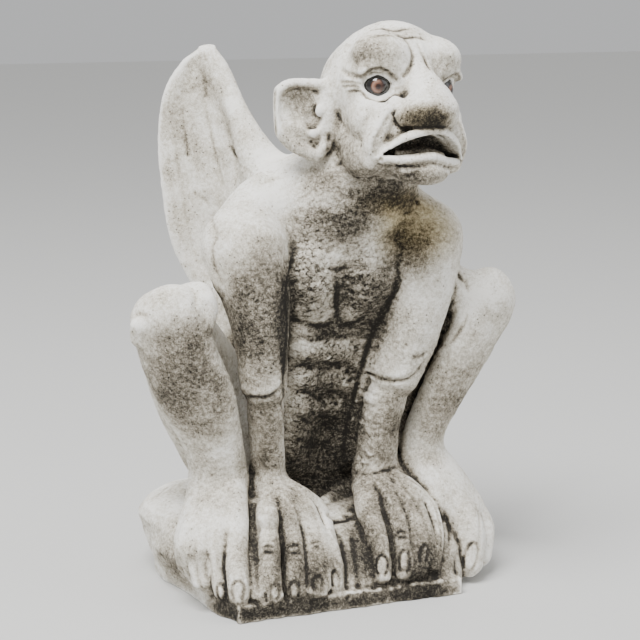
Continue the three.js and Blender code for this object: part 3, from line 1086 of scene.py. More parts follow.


# Lines of the body, in pixels of the photograph, each with its half width and depth in millimetres
# and how much dirt and painted shade it gets

BODY_FORMS = (
    Trace([(309, 262, 20), (308, 282, 24), (309, 300, 20)], -0.62, 0.95),
    Trace([(364, 270, 19), (364, 290, 23), (360, 304, 18)], -0.6, 0.95),
    Trace([(304, 352, 12), (322, 350, 15), (342, 351, 11)], -0.66, 0.95),
    Trace([(303, 380, 12), (322, 379, 14), (340, 380, 10)], -0.66, 0.95),
    Trace([(302, 408, 12), (320, 407, 14), (336, 408, 10)], -0.68, 0.95),
    Trace([(206, 300, 11), (209, 311, 12), (207, 322, 10)], -0.5, 0.9),
    Trace([(138, 326, 8), (137, 340, 8)], -0.2, 0.7),
)
BODY_LINES = (
    # The first line lays a dark line of painted shade, with only a shallow cut, along the chest beside the
    # right arm
    (((298, 246), (291, 262), (287, 282), (285, 302), (287, 324), (285, 350), (283, 382), (282, 410),
        (284, 445)), 1.2, 0.3, 0.9),
    (((398, 262), (397, 284), (388, 304), (374, 330), (364, 358), (355, 390), (347, 425), (341, 462)),
        1.8, 1.4, 0.7),
    (((290, 318), (304, 324), (322, 327), (334, 323)), 2.2, 2.0, 0.8),
    (((339, 325), (353, 325), (368, 315)), 2.2, 2.0, 0.8),
    (((337, 280), (336, 300), (338, 322)), 1.6, 1.5, 0.9),
    (((330, 268), (338, 271), (348, 267)), 2.6, 1.0, 0.6),
    (((295, 342), (304, 338), (315, 341), (330, 335), (346, 338), (358, 336)), 1.8, 1.0, 0.35),
    (((295, 369), (303, 365), (312, 368), (323, 362), (336, 366), (350, 364)), 1.5, 1.2, 0.5),
    (((294, 396), (301, 391), (310, 394), (321, 399), (332, 392), (346, 396)), 1.5, 1.2, 0.5),
    (((293, 420), (301, 418), (312, 424), (325, 417), (342, 422)), 1.8, 1.0, 0.4),
    (((294, 444), (303, 440), (316, 446), (334, 441)), 1.8, 1.0, 0.4),
    (((240, 391), (250, 397), (262, 398), (273, 394), (282, 386)), 1.1, 1.7, 0.9),
    (((240, 385), (250, 391), (262, 392), (273, 388), (281, 380)), 2.0, -1.4, 0),
    (((366, 372), (378, 378), (392, 381), (405, 380), (416, 373), (427, 357)), 1.1, 1.7, 0.9),
    (((367, 366), (379, 372), (392, 375), (404, 374), (414, 367)), 2.0, -1.4, 0),
    (((412, 357), (420, 357), (428, 352)), 1.2, 1.6, 0.9),
    (((228, 142), (237, 156), (244, 169), (250, 183)), 1.4, 0.6, 0.1),
    (((250, 178), (270, 169), (288, 164), (303, 161)), 1.2, 1.0, 0.35),
    (((256, 186), (274, 179), (291, 175), (304, 172)), 1.2, 1.0, 0.35),
    (((255, 170), (270, 163), (286, 158)), 1.2, 0.9, 0.3),
    (((222, 203), (214, 228), (212, 250), (216, 272), (223, 286)), 1.4, 1.2, 0.45),
    (((191, 286), (196, 300), (193, 314)), 2.4, 1.2, 0.2),
    (((134, 316), (140, 313), (147, 316)), 1.6, 1.2, 0.4),
    (((469, 313), (462, 328), (455, 337), (449, 346)), 1.2, 1.2, 0.6),
    (((458, 272), (466, 284), (469, 293)), 2.0, 1.3, 0.3),
    (((326, 515), (336, 521), (345, 516), (352, 506)), 2.4, 3.6, 1.0),
    (((338, 528), (344, 558), (347, 592)), 1.4, 1.5, 0.6),
    (((348, 524), (354, 555), (358, 590)), 1.4, 1.5, 0.6),
    (((443, 508), (449, 530), (447, 556)), 1.4, 1.4, 0.6),
    (((436, 572), (437, 586)), 1.6, 1.6, 0.7),
    (((455, 560), (456, 580)), 1.6, 1.4, 0.7),
    (((181, 104), (187, 147), (195, 193), (205, 234)), 1.5, 0.6, 0.2),
    (((190, 104), (197, 152), (206, 202), (212, 226)), 1.3, 0.5, 0.16),
    (((173, 112), (177, 156), (187, 222), (196, 262)), 1.4, 0.5, 0.2),
    (((204, 98), (211, 134), (220, 172), (225, 190)), 1.3, 0.5, 0.12),
    (((166, 134), (170, 180), (180, 232), (189, 266)), 1.3, 0.5, 0.16),
)
HATCHES = tuple((((156 + 5 * i, 497), (165 + 5 * i, 489), (176 + 5 * i, 481)),
    0.9, 0.9, 0.4) for i in range(5))

# Lines of the face, in pixels of the photograph, each with its half width and depth in millimetres
# and how much dirt and painted shade it gets

FACE_LINES = (
    (((340, 69), (349, 75), (358, 77), (367, 74), (377, 70), (385, 71), (392, 76), (398, 82)),
        1.5, 3.2, 1.0),
    (((339, 82), (350, 82), (361, 84)), 0.8, 1.0, 0.8),
    (((341, 87), (352, 86), (361, 88)), 0.8, 1.0, 0.8),
    (((346, 92), (355, 91), (362, 92)), 0.8, 0.8, 0.7),
    (((361, 91), (367, 98), (377, 101), (388, 100), (397, 95)), 0.9, 1.0, 0.8),
    (((394, 91), (400, 87)), 0.8, 0.4, 0.4),
    (((395, 109), (389, 117), (384, 126), (379, 136), (375, 147), (377, 157)), 1.8, 1.8, 0.4),
    (((397, 108), (394, 114), (395, 121), (400, 127), (409, 128)), 1.0, 0.9, 0.4),
    (((400, 128), (412, 129), (426, 128), (440, 128), (450, 126)), 1.1, 1.2, 0.9),
    (((337, 113), (341, 120), (344, 126), (346, 131)), 0.9, 0.5, 0.2),
    (((372, 112), (366, 120), (362, 128)), 1.2, 0.6, 0.12),
    (((329, 132), (328, 142), (327, 152)), 1.3, 1.2, 0.6),
    (((379, 158), (384, 160)), 1.2, 1.0, 0.7),
    (((388, 163), (400, 166), (414, 167), (430, 166)), 1.3, 0.8, 0.15),
    (((396, 172), (408, 176), (421, 173)), 1.6, 0.7, 0.2),
)
FAR_FACE_LINES = (
    (((403, 37), (410, 45), (413, 55), (412, 63), (408, 71), (402, 78)), 1.3, 2.6, 1.0),
    (((417, 42), (421, 50), (425, 59), (431, 70)), 1.2, 2.2, 0.9),
    (((370, 31), (381, 29), (392, 31), (402, 30), (413, 29)), 0.9, 1.0, 0.8),
    (((395, 35), (405, 38), (415, 37), (425, 40)), 0.9, 1.2, 0.9),
    (((372, 38), (384, 35), (396, 37)), 0.9, 0.8, 0.6),
    (((345, 45), (356, 42), (366, 40)), 0.9, 0.5, 0.4),
)


# What time and the tool did to the skin, and the shade painted on it


@dataclass(frozen=True)
class Zone:
    """A soft-edged region of the figure: an egg's middle and half sizes."""

    at: Point
    half: Point
    soft: float = 0.5

    def share(self, points: np.ndarray) -> np.ndarray:
        """How far each point belongs to the zone, from 0 to 1, as an array."""
        near = np.sqrt((((points - np.asarray(self.at)) / np.asarray(self.half)) ** 2).sum(axis=1))
        return 1 - ramp(near, 1 - self.soft / 2, 1 + self.soft / 2)


def most(zones: Sequence[Zone], points: np.ndarray) -> np.ndarray:
    """The largest share that any of the zones has in each point, as an array."""
    return np.max([zone.share(points) for zone in zones], axis=0)


CHEST = (Zone((8, -52, 218), (46, 40, 52)), Zone((6, -40, 130), (42, 46, 70)))
NECK = (Zone((24, -64, 288), (52, 44, 30)),)
HAIRY_ARMS = (Zone((-58, -60, 190), (30, 34, 52)), Zone((62, -60, 195), (32, 34, 52)))
SHINS = (Zone((-100, -56, 150), (44, 30, 58)), Zone((100, -56, 150), (40, 30, 56)))
ROCK = (Zone((0, -10, 20), (150, 130, 40), 0.3),)
HANDS = (Zone((-40, -82, 44), (36, 34, 40)), Zone((50, -76, 46), (40, 34, 42)),
    Zone((-92, -72, 48), (34, 36, 44)), Zone((98, -66, 50), (36, 36, 46)))


HOLLOW_SIZES = {"crease": 1.8, "hollow": 5.0}
RECESS_SIZE = 16.0


@dataclass(frozen=True)
class Patch:
    """A soft oval that darkens the stone: dirt and stain in some, painted shade in others.

    Args:
        middle: where it is, in pixels of the photograph.
        half: its half width and half height, in pixels.
        amount: how dark it is.
        depth: how far it reaches behind and before the surface, in millimetres.
    """

    middle: Point
    half: Point
    amount: float
    depth: float = 22.0

    def share(self, clay: Clay, points: np.ndarray) -> np.ndarray:
        """How much of it each point gets.

        Args:
            clay: the clay that it lies on.
            points: where it is wanted, in millimetres.

        Returns:
            One amount for each point.
        """
        right, up, ahead = VIEW.axes()
        spot = VIEW.touch(clay, [self.middle])[0]
        scale = (spot - np.asarray(VIEW.spot)) @ ahead / VIEW.lens
        off = points - spot
        across, along = off @ right / (self.half[0] * scale), off @ up / (self.half[1] * scale)
        near = np.sqrt(across**2 + along**2 + (off @ ahead / self.depth) ** 2)
        return self.amount * (1 - ramp(near, 0.3, 1.5))


# Dirt and stains, and painted shade under the jaw, inside the mouth, down the recess between the arms and
# along the foot of the rock
DIRT_AND_SHADE_PATCHES = (
    Patch((368, 54), (32, 20), 0.42), Patch((440, 62), (18, 16), 0.2), Patch((379, 88), (23, 17), 0.26, 16),
    Patch((428, 117), (32, 13), 0.62, 18), Patch((400, 34), (34, 8), 0.2),
    Patch((424, 149), (32, 8), 0.65, 20), Patch((405, 174), (46, 13), 0.42),
    Patch((345, 158), (28, 28), 0.36), Patch((352, 120), (22, 18), 0.12),
    Patch((332, 132), (12, 26), 0.12), Patch((405, 136), (34, 8), 0.16),
    Patch((285, 345), (5, 62), 0.5, 30), Patch((302, 100), (17, 18), 0.42, 14),
    Patch((300, 138), (18, 22), 0.24, 14),
    Patch((345, 205), (54, 26), 0.34, 34), Patch((398, 196), (52, 14), 0.46, 40),
    Patch((318, 178), (18, 16), 0.34, 30),
    Patch((330, 228), (44, 20), 0.42, 30), Patch((308, 285), (26, 42), 0.5),
    Patch((362, 290), (28, 38), 0.58),
    Patch((330, 330), (50, 12), 0.5), Patch((322, 368), (42, 36), 0.52, 30),
    Patch((318, 420), (42, 36), 0.68, 34),
    Patch((315, 470), (46, 36), 0.85, 40), Patch((388, 285), (10, 30), 0.24),
    Patch((376, 325), (10, 28), 0.2),
    Patch((338, 300), (9, 32), 0.3), Patch((352, 420), (12, 36), 0.2), Patch((340, 465), (16, 28), 0.4),
    Patch((420, 232), (38, 28), 0.4, 30), Patch((412, 258), (26, 30), 0.32, 28),
    Patch((260, 318), (34, 74), 0.5, 30),
    Patch((281, 300), (8, 66), 0.2), Patch((236, 330), (9, 56), 0.22),
    Patch((262, 430), (26, 50), 0.46, 26),
    Patch((262, 468), (22, 16), 0.3), Patch((385, 430), (32, 56), 0.42, 28),
    Patch((390, 335), (30, 40), 0.26, 28),
    Patch((194, 392), (58, 84), 0.33, 30), Patch((186, 345), (36, 30), 0.18),
    Patch((165, 298), (20, 12), 0.22),
    Patch((450, 385), (34, 52), 0.32, 30), Patch((430, 445), (20, 22), 0.3),
    Patch((290, 502), (42, 22), 0.4),
    Patch((298, 566), (56, 44), 0.56, 30), Patch((385, 492), (42, 22), 0.36),
    Patch((405, 545), (54, 48), 0.5, 30),
    Patch((355, 552), (24, 56), 0.36), Patch((440, 575), (38, 28), 0.44),
    Patch((300, 610), (90, 13), 0.66, 30),
    Patch((400, 598), (70, 14), 0.66, 34), Patch((228, 612), (36, 18), 0.45),
    Patch((470, 590), (30, 20), 0.5),
    Patch((215, 560), (40, 46), 0.18), Patch((168, 560), (34, 40), 0.34), Patch((466, 530), (22, 44), 0.2),
    Patch((190, 180), (40, 80), 0.1), Patch((200, 75), (26, 26), 0.16),
    Patch((212, 490), (36, 34), 0.24), Patch((250, 225), (40, 30), 0.1),
)
OCHRE = (Patch((415, 228), (42, 32), 1.0, 34), Patch((400, 205), (44, 14), 0.8, 30),
    Patch((425, 118), (28, 12), 0.6, 16))
HAIR = (
    Patch((308, 285), (28, 56), 1.0, 22), Patch((362, 290), (32, 50), 1.0, 22),
    Patch((322, 380), (48, 76), 1.0, 34),
    Patch((315, 450), (48, 64), 0.9, 34), Patch((345, 212), (60, 34), 0.6, 34),
    Patch((258, 330), (30, 70), 0.5, 28),
    Patch((395, 330), (36, 46), 0.35, 26), Patch((200, 375), (40, 66), 0.35, 28),
    Patch((415, 240), (32, 36), 0.35, 26),
)


def painted(patches: Sequence[Patch], clay: Clay, points: np.ndarray) -> np.ndarray:
    """The patches' amounts in each point, added up."""
    return sum(patch.share(clay, points) for patch in patches)


MARK_STAIN_AND_SHADE_SHARE = 0.95


def mark_stain_and_shade(clay: Clay, points: np.ndarray) -> np.ndarray:
    """How much dirt and painted shade lie in the tool marks, uneven along them."""
    return clay.sample(points, clay.grime_and_shade) * (0.75 + 0.25 * mottle(points, 5, 24))


def soil_and_shade(clay: Clay, points: np.ndarray, normals: np.ndarray, hollows: dict) -> np.ndarray:
    """How much dirt and painted shade lie at each vertex, from 0 to over 1.

    Args:
        clay: the carved clay.
        points: the vertices, in millimetres.
        normals: their normals.
        hollows: for each size, how hollow the stone is there.

    Returns:
        One amount for each vertex.
    """
    total = painted(DIRT_AND_SHADE_PATCHES, clay, points)
    # Painted shade: darker on faces that turn downwards
    total += 0.26 * ramp(-normals[:, 2], -0.3, 0.9)
    # Darker in recesses, hollows and creases, from dirt and painted shade; lighter on edges and bulges
    total += 0.6 * ramp(hollows["recess"], 0.0, 0.7)
    total += 0.5 * ramp(hollows["hollow"], 0.04, 0.5)
    total += 0.5 * ramp(hollows["crease"], 0.04, 0.4)
    total -= 0.3 * ramp(-hollows["crease"], 0.06, 0.35)
    total -= 0.12 * ramp(-hollows["hollow"], 0.1, 0.5)
    total += 0.10 * mottle(points, 30, 22) + 0.08 * mottle(points, 11, 23)
    return np.minimum(total, 0.82)


def weather(clay: Clay) -> None:
    """Works hair, chisel marks, pits and grain into the skin."""
    cells, points = clay.skin(3.2)
    chest, neck, arms = most(CHEST, points), most(NECK, points), most(HAIRY_ARMS, points)
    shins, rock, hands = most(SHINS, points), most(ROCK, points), most(HANDS, points)
    rock = rock * (1 - hands)
    fur = np.maximum(chest, 0.8 * neck)
    drift = np.stack([mottle(points, 13, seed) for seed in (1, 2, 3)], axis=1)
    warped = points + 3.0 * drift
    cut = np.zeros(len(points))
    tufts = mottle(warped, (7.5, 9, 3.4), 4)
    fine_tufts = mottle(warped, (4.2, 5, 2.1), 5)
    holes = pits(warped, (7.5, 9, 4.4), 6)
    cut += fur * (0.6 * tufts + 0.45 * fine_tufts + 0.7 * (1 - ramp(holes, 0.1, 0.5)))
    belly = Zone((6, -40, 120), (46, 46, 68)).share(points)
    cut += belly * 1.2 * mottle(warped, (20, 20, 8), 7)
    down = points @ np.array([[0.9, 0.1, 0.3], [0, 1, 0], [-0.35, 0, 0.94]]).T
    strands = mottle(down + 2.0 * drift, (3.4, 4, 7.5), 8)
    small_holes = pits(down, (4.4, 5, 4.0), 9)
    pricks = (1 - ramp(small_holes, 0.12, 0.36)) * ramp(mottle(points, 16, 10), -0.5, 0.4)
    cut += arms * (1 - chest) * (0.42 * strands + 0.8 * pricks)
    curved = mottle(points + 2.5 * drift, (8, 8, 2.8), 11)
    cut += shins * (0.35 * curved + 0.5 * (1 - ramp(pits(points, (6, 6, 3.4), 12), 0.14, 0.36)))
    chisel = mottle(points + 2.0 * drift, (4.5, 9, 26), 13)
    rough = mottle(points, 8, 14)
    chips = (1 - ramp(pits(points, 9, 15), 0.14, 0.4)) * ramp(mottle(points, 22, 16), -0.2, 0.5)
    cut += rock * (0.75 * chisel + 0.5 * rough + 0.9 * chips)
    lip = Zone((-6, -109, 6), (120, 9, 13)).share(points)
    worn = ramp(mottle(points, 12, 27), 0.1, 0.7)
    cut += lip * (0.7 * mottle(points, 8, 25) + 0.5 * mottle(points, 3.4, 26) + 0.7 * worn)
    cut += 0.16 * mottle(points, 2.6, 17) + 0.22 * mottle(points, 6.5, 18) + 0.35 * mottle(points, 19, 19)
    cut += 0.7 * (1 - ramp(pits(points, 8.5, 20), 0.07, 0.17)) * ramp(mottle(points, 26, 21), -0.3, 0.5)
    clay.field[cells] += cut.astype(np.float32)


# Assembly of the carving


def flip(stations: Sequence[Station], s: int) -> list:
    """The stations of the left side, or their mirror image on the right."""
    return [(s * p[0],) + tuple(p[1:]) for p in stations]


@dataclass(frozen=True)
class Region:
    """A share of the figure that is cast as one piece, bounded by planes.

    Past a plane the piece runs on a little way just under its neighbour's skin, so no seam shows.

    Args:
        name: the end of the piece's name.
        limits: for each plane its axis, the sign of the side that is kept, and where it is.
    """

    name: str
    limits: Sequence[tuple]
    overlap: float = 4.0
    sink: float = 0.13

    def mesh(self, clay: Clay) -> tuple:
        """Makes the surface.

        Args:
            clay: the carved clay.

        Returns:
            The vertices in millimetres, and the faces as their four vertices.
        """
        low = clay.low.copy()
        high = clay.low + clay.step * (clay.count - 1)
        for axis, sign, at in self.limits:
            if sign > 0:
                low[axis] = max(low[axis], at - 2 * self.overlap)
            else:
                high[axis] = min(high[axis], at + 2 * self.overlap)
        window = clay.window(low, high)
        spread = window.spread()
        outside = -FAR
        for axis, sign, at in self.limits:
            outside = np.maximum(outside, -sign * (spread[axis] - at))
        solid = clay.field[window.cells] + self.sink * np.maximum(outside, 0)
        solid = np.clip(np.maximum(solid, outside - self.overlap), -3, 3).astype(np.float32)
        grid = openvdb.FloatGrid(3.0)
        grid.copyFromArray(np.ascontiguousarray(solid))
        spots, quads = grid.convertToQuads(0.0)
        points = (spots.astype(float) + window.first) * clay.step + clay.low
        return points, quads[:, ::-1].astype(np.int64)


X, Y, Z = 0, 1, 2
SEAM_X, SEAM_Y, NECK_Z, WRIST_Z = 4.0, -14.0, 296.0, 64.0
BODY_REGIONS = (
    Region("front_right", ((Z, 1, WRIST_Z), (Z, -1, NECK_Z), (Y, -1, SEAM_Y), (X, -1, SEAM_X))),
    Region("front_left", ((Z, 1, WRIST_Z), (Z, -1, NECK_Z), (Y, -1, SEAM_Y), (X, 1, SEAM_X))),
    Region("back_right", ((Z, 1, WRIST_Z), (Y, 1, SEAM_Y), (X, -1, SEAM_X))),
    Region("back_left", ((Z, 1, WRIST_Z), (Y, 1, SEAM_Y), (X, 1, SEAM_X))),
    Region("foot_right", ((Z, -1, WRIST_Z), (X, -1, SEAM_X))),
    Region("foot_left", ((Z, -1, WRIST_Z), (X, 1, SEAM_X))),
)
HEAD_REGIONS = (Region("head", ((Z, 1, NECK_Z), (Y, -1, SEAM_Y))),)


@dataclass
class Gargoyle:
    """The whole figure and its rock, carved and cast as one skin."""

    step: float = 1.15
    head_step: float = 0.8
    quick_step: float = 2.2
    low: Point = (-156.0, -140.0, -12.0)
    high: Point = (156.0, 100.0, 408.0)
    head_low: Point = (-44.0, -146.0, 284.0)
    head_high: Point = (112.0, -6.0, 406.0)

    def parts(self) -> list:
        """The parts of the body in the order that they are pressed on."""
        arms = [
            Arm(
                [(-63, -58, 246, 26, 26), (-59, -61, 219, 23.5, 24), (-55, -62, 188, 19, 21),
                    (-52, -59, 152, 16, 18)],
                [(-52, -58, 156, 12.5, 14), (-48, -52, 124, 12.5, 14), (-45, -46, 100, 12, 13),
                    (-43, -42, 74, 14.5, 14)],
                (-64, -57, 244), (-52, -58, 160),
            ),
            Arm(
                [(71, -56, 246, 23, 25), (67, -60, 213, 22, 23), (59, -61, 184, 20.5, 21),
                    (50, -57, 152, 17, 18)],
                [(49, -56, 156, 14.5, 15), (43, -52, 130, 15, 15), (41, -46, 108, 14.5, 15),
                    (40, -42, 78, 16.5, 15)],
                (72, -56, 244), (51, -57, 160),
            ),
        ]
        hands = [
            Paw(
                back=[(-43, -42, 74, 17, 13), (-42, -54, 66, 22, 12), (-38, -64, 58, 25, 12),
                    (-38, -76, 40, 24, 10)],
                digits=[
                    Trace([(253, 505, 7), (253, 540, 8), (255, 575, 8), (258, 596, 7)], 0.1, 0.8),
                    Trace([(290, 512, 26), (298, 540, 30), (303, 568, 30), (306, 590, 26)], -0.1, 0.42),
                    Trace([(266, 480, 13, -0.4), (272, 492, 15, -0.2), (280, 504, 17, -0.2),
                        (288, 514, 18, -0.4)], 0, 0.7),
                    Trace([(280, 484, 10, -0.4), (298, 496, 12, -0.2), (312, 508, 14, -0.4),
                        (318, 524, 10, -0.5)], 0, 0.7),
                    Trace([(267, 498, 9, -0.7), (268, 515, 12, 0.55), (268, 532, 11, 0.4),
                        (268, 550, 12, 0.55), (270, 575, 10.5, 0.45), (273, 594, 10, 0.3)]),
                    Trace([(284, 496, 7, -0.7), (288, 512, 10, 0.6), (291, 530, 9.5, 0.4),
                        (293, 549, 10.5, 0.6), (294, 573, 9.5, 0.5), (294, 591, 9, 0.3)]),
                    Trace([(298, 495, 6, -0.6), (304, 512, 9, 0.6), (309, 528, 8.5, 0.4),
                        (313, 545, 9.5, 0.6), (317, 568, 9, 0.5), (319, 587, 8, 0.3)]),
                    Trace([(311, 498, 5, -0.5), (320, 514, 7.5, 0.4), (329, 541, 7.5, 0.4),
                        (334, 562, 7.5, 0.3), (336, 585, 7, 0.2)]),
                ],
                nails=[
                    Nail((275, 592), (5, 8), 5), Nail((294, 590), (5.5, 8.5)),
                    Nail((318, 584), (5, 8.5)), Nail((336, 580), (4, 9.5), -5),
                ],
                creases=[
                    [(263, 547), (268, 546), (274, 547)], [(263, 552), (268, 552), (275, 552)],
                    [(288, 547), (294, 545), (300, 546)], [(290, 553), (295, 553), (301, 552)],
                    [(310, 543), (315, 542), (320, 543)], [(311, 548), (316, 547), (320, 548)],
                ],
                grooves=[
                    [(277, 508), (280, 530), (282, 560), (284, 598)],
                    [(295, 508), (302, 530), (306, 560), (307, 596)],
                    [(308, 504), (317, 522), (323, 545), (327, 572), (328, 592)],
                    [(258, 520), (256, 550), (257, 580), (260, 600)],
                ],
                tendons=[
                    [(280, 488), (296, 495), (314, 502), (326, 520), (332, 540)],
                    [(270, 488), (282, 496), (290, 504)],
                ],
            ),
            Paw(
                back=[(40, -42, 78, 18, 13), (44, -52, 68, 23, 12), (49, -62, 58, 27, 12),
                    (50, -76, 42, 26, 10)],
                digits=[
                    Trace([(395, 506, 28), (402, 530, 30), (406, 552, 28), (405, 568, 24)], -0.1, 0.42),
                    Trace([(352, 484, 10, 0), (338, 494, 8, 0.2), (325, 503, 6, 0.2)], 0, 0.8),
                    Trace([(368, 480, 16, -0.5), (378, 496, 20, -0.3), (392, 510, 22, -0.5)], 0, 0.6),
                    Trace([(392, 480, 14, -0.5), (408, 496, 18, -0.3), (422, 512, 16, -0.5)], 0, 0.6),
                    Trace([(362, 490, 12, -0.4), (368, 510, 13, 0), (376, 538, 11, 0.35),
                        (381, 558, 9.5, 0.4), (383, 576, 8, 0.3)]),
                    Trace([(384, 488, 8, -0.4), (393, 508, 9.5, 0.2), (401, 536, 10, 0.5),
                        (404, 558, 9.5, 0.5), (403, 573, 8.5, 0.35)]),
                    Trace([(400, 488, 7, -0.4), (412, 506, 8.5, 0.2), (421, 528, 8.5, 0.5),
                        (423, 548, 8, 0.5), (420, 565, 7, 0.35)]),
                    Trace([(414, 490, 6, -0.4), (428, 506, 7, 0.2), (435, 528, 7, 0.4),
                        (436, 550, 6.5, 0.4), (434, 567, 5.5, 0.3)]),
                ],
                nails=[
                    Nail((382, 566), (6, 11), 3), Nail((404.5, 561), (5.5, 12), 3),
                        Nail((424, 554), (4, 10), 12),
                ],
                creases=[[(396, 533), (401, 531), (406, 533)], [(397, 538), (402, 537), (407, 538)]],
                grooves=[
                    [(372, 483), (380, 495), (382, 505), (388, 530), (390, 560), (391, 578)],
                    [(392, 484), (400, 500), (408, 520), (412, 545), (412, 575)],
                    [(402, 484), (413, 498), (420, 511), (428, 530), (431, 550), (428, 565)],
                    [(422, 488), (434, 504), (440, 525), (441, 550), (437, 570)],
                    [(356, 518), (363, 538), (370, 557), (374, 578)],
                    [(352, 471), (365, 474), (380, 472), (396, 467)],
                    [(396, 467), (408, 478), (422, 488), (436, 502)],
                ],
                tendons=[[(386, 480), (400, 491), (410, 500)], [(372, 478), (384, 490), (392, 505)]],
            ),
        ]
        legs = [
            Leg(
                [(-50, 20, 98, 40, 36), (-86, -10, 152, 36, 32), (-112, -42, 196, 27, 24)],
                [(-121, -60, 204, 26, 21), (-112, -58, 174, 27, 19), (-98, -53, 144, 26.5, 18),
                    (-86, -47, 114, 21.5, 16), (-79, -41, 84, 20, 16)],
                (-116, -66, 206), -1,
            ),
            Leg(
                [(52, 20, 98, 40, 36), (86, -10, 150, 34, 30), (110, -42, 194, 24, 22)],
                [(120, -60, 202, 24, 18), (108, -58, 172, 24, 16), (93, -53, 142, 22, 15),
                    (81, -46, 112, 17, 14), (76, -40, 84, 18, 15)],
                (114, -66, 204), 1,
            ),
        ]
        instep = [(79, -41, 84, 20, 16), (88, -56, 64, 23, 14), (97, -66, 44, 24, 12)]
        feet = [
            Paw(
                back=flip(instep, -1),
                digits=[
                    Trace([(214, 530, 28), (212, 560, 26), (215, 580, 24)], -0.1, 0.34),
                    Trace([(236, 490, 12, -0.6), (236, 515, 13, -0.2), (236, 550, 12, 0.3),
                        (238, 578, 11, 0.4), (239, 597, 9.5, 0.3)]),
                    Trace([(224, 500, 10, -0.6), (218, 525, 10, -0.2), (216, 548, 9.5, 0.2),
                        (218, 570, 8.5, 0.4), (223, 591, 8, 0.3)]),
                    Trace([(214, 505, 9, -0.6), (206, 528, 9, -0.2), (202, 548, 9, 0.2),
                        (204, 568, 8.5, 0.4), (210, 587, 7.5, 0.3)]),
                    Trace([(204, 510, 8, -0.6), (196, 530, 8, -0.2), (190, 550, 8.5, 0.2),
                        (192, 567, 7.5, 0.4), (198, 581, 6, 0.3)]),
                    Trace([(194, 515, 7, -0.6), (186, 535, 7, -0.1), (182, 550, 7, 0.2),
                        (184, 562, 6.5, 0.3), (188, 572, 5, 0.3)]),
                ],
                nails=[Nail((238, 591), (6.5, 10)), Nail((221, 592), (4, 8), -8)],
                grooves=[
                    [(224, 552), (226, 574), (231, 603)], [(208, 553), (211, 572), (217, 598)],
                    [(195, 560), (198, 577), (204, 590)], [(186, 560), (188, 570), (193, 580)],
                ],
                across=(0.87, -0.5, 0),
            ),
            Paw(
                back=[(78, -41, 84, 20, 16), (88, -56, 66, 23, 15), (99, -64, 46, 24, 14)],
                digits=[],
                nails=[Nail((471, 557), (6.5, 15), 14)],
                hidden=[
                    [(88, -64, 58, 12), (97, -76, 36, 14), (95, -86, 14, 10)],
                    [(106, -58, 50, 11), (115, -64, 32, 10.5), (110, -74, 15, 8.5)],
                    [(112, -44, 50, 9), (122, -50, 34, 8), (120, -56, 19, 6.5)],
                ],
                tendons=[[(418, 452), (440, 480), (456, 508)]],
                grooves=[[(476, 500), (480, 525), (479, 548)]],
                across=(0.87, 0.5, 0),
            ),
        ]
        return [Rock(), Trunk()] + legs + arms + [Wing(-1), Wing(1)] + hands + feet

    def carve(self) -> Clay:
        """Carves the whole figure."""
        clay = Clay(self.low, self.high, self.step)
        parts = self.parts()
        rock = parts[0]
        for part in parts:
            part.carve(clay)
        lay(clay, BODY_FORMS, 6)
        Head().finish(clay)
        for part in parts:
            if isinstance(part, Paw):
                part.finish(clay)
        for line, width, depth, dirt_and_shade in BODY_LINES + HATCHES:
            clay.stroke(VIEW.touch(clay, line), width, depth, dirt_and_shade=dirt_and_shade)
        rock.edge(clay)
        weather(clay)
        rock.level(clay)
        return clay

    def carve_head(self) -> Clay:
        """Carves the head once more, in finer clay, with what is next to it."""
        clay = Clay(self.head_low, self.head_high, self.head_step)
        for part in self.parts():
            if not isinstance(part, (Paw, Rock, Leg)):
                part.carve(clay)
        Head().finish(clay)
        weather(clay)
        return clay

    def cast(self) -> list:
        """Makes the meshes of the surface, and notes on every vertex how the stone has aged there and how
        much shade is painted on it.

        Returns:
            The pieces, each a closed object with its mesh in metres.
        """
        clay = self.carve()
        head_clay = self.carve_head()
        log.info("carved")
        recess = clay.crowding(RECESS_SIZE)
        pieces = []
        for block, regions in ((clay, BODY_REGIONS), (head_clay, HEAD_REGIONS)):
            crowds = {name: block.crowding(size) for name, size in HOLLOW_SIZES.items()}
            for region in regions:
                points, quads = region.mesh(block)
                normals = block.slope(points)
                hollows = {name: block.sample(points, crowd) * 2 - 1 for name, crowd in crowds.items()}
                hollows["recess"] = clay.sample(points, recess) * 2 - 1
                values = {
                    "soil_and_shade": soil_and_shade(clay, points, normals, hollows) + MARK_STAIN_AND_SHADE_SHARE * mark_stain_and_shade(block, points),
                    "ochre": np.clip(painted(OCHRE, clay, points), 0, 1),
                    "hair": np.clip(painted(HAIR, clay, points), 0, 1),
                }
                pieces.append(self.piece(f"gargoyle_{region.name}", points, quads, values))
        return pieces

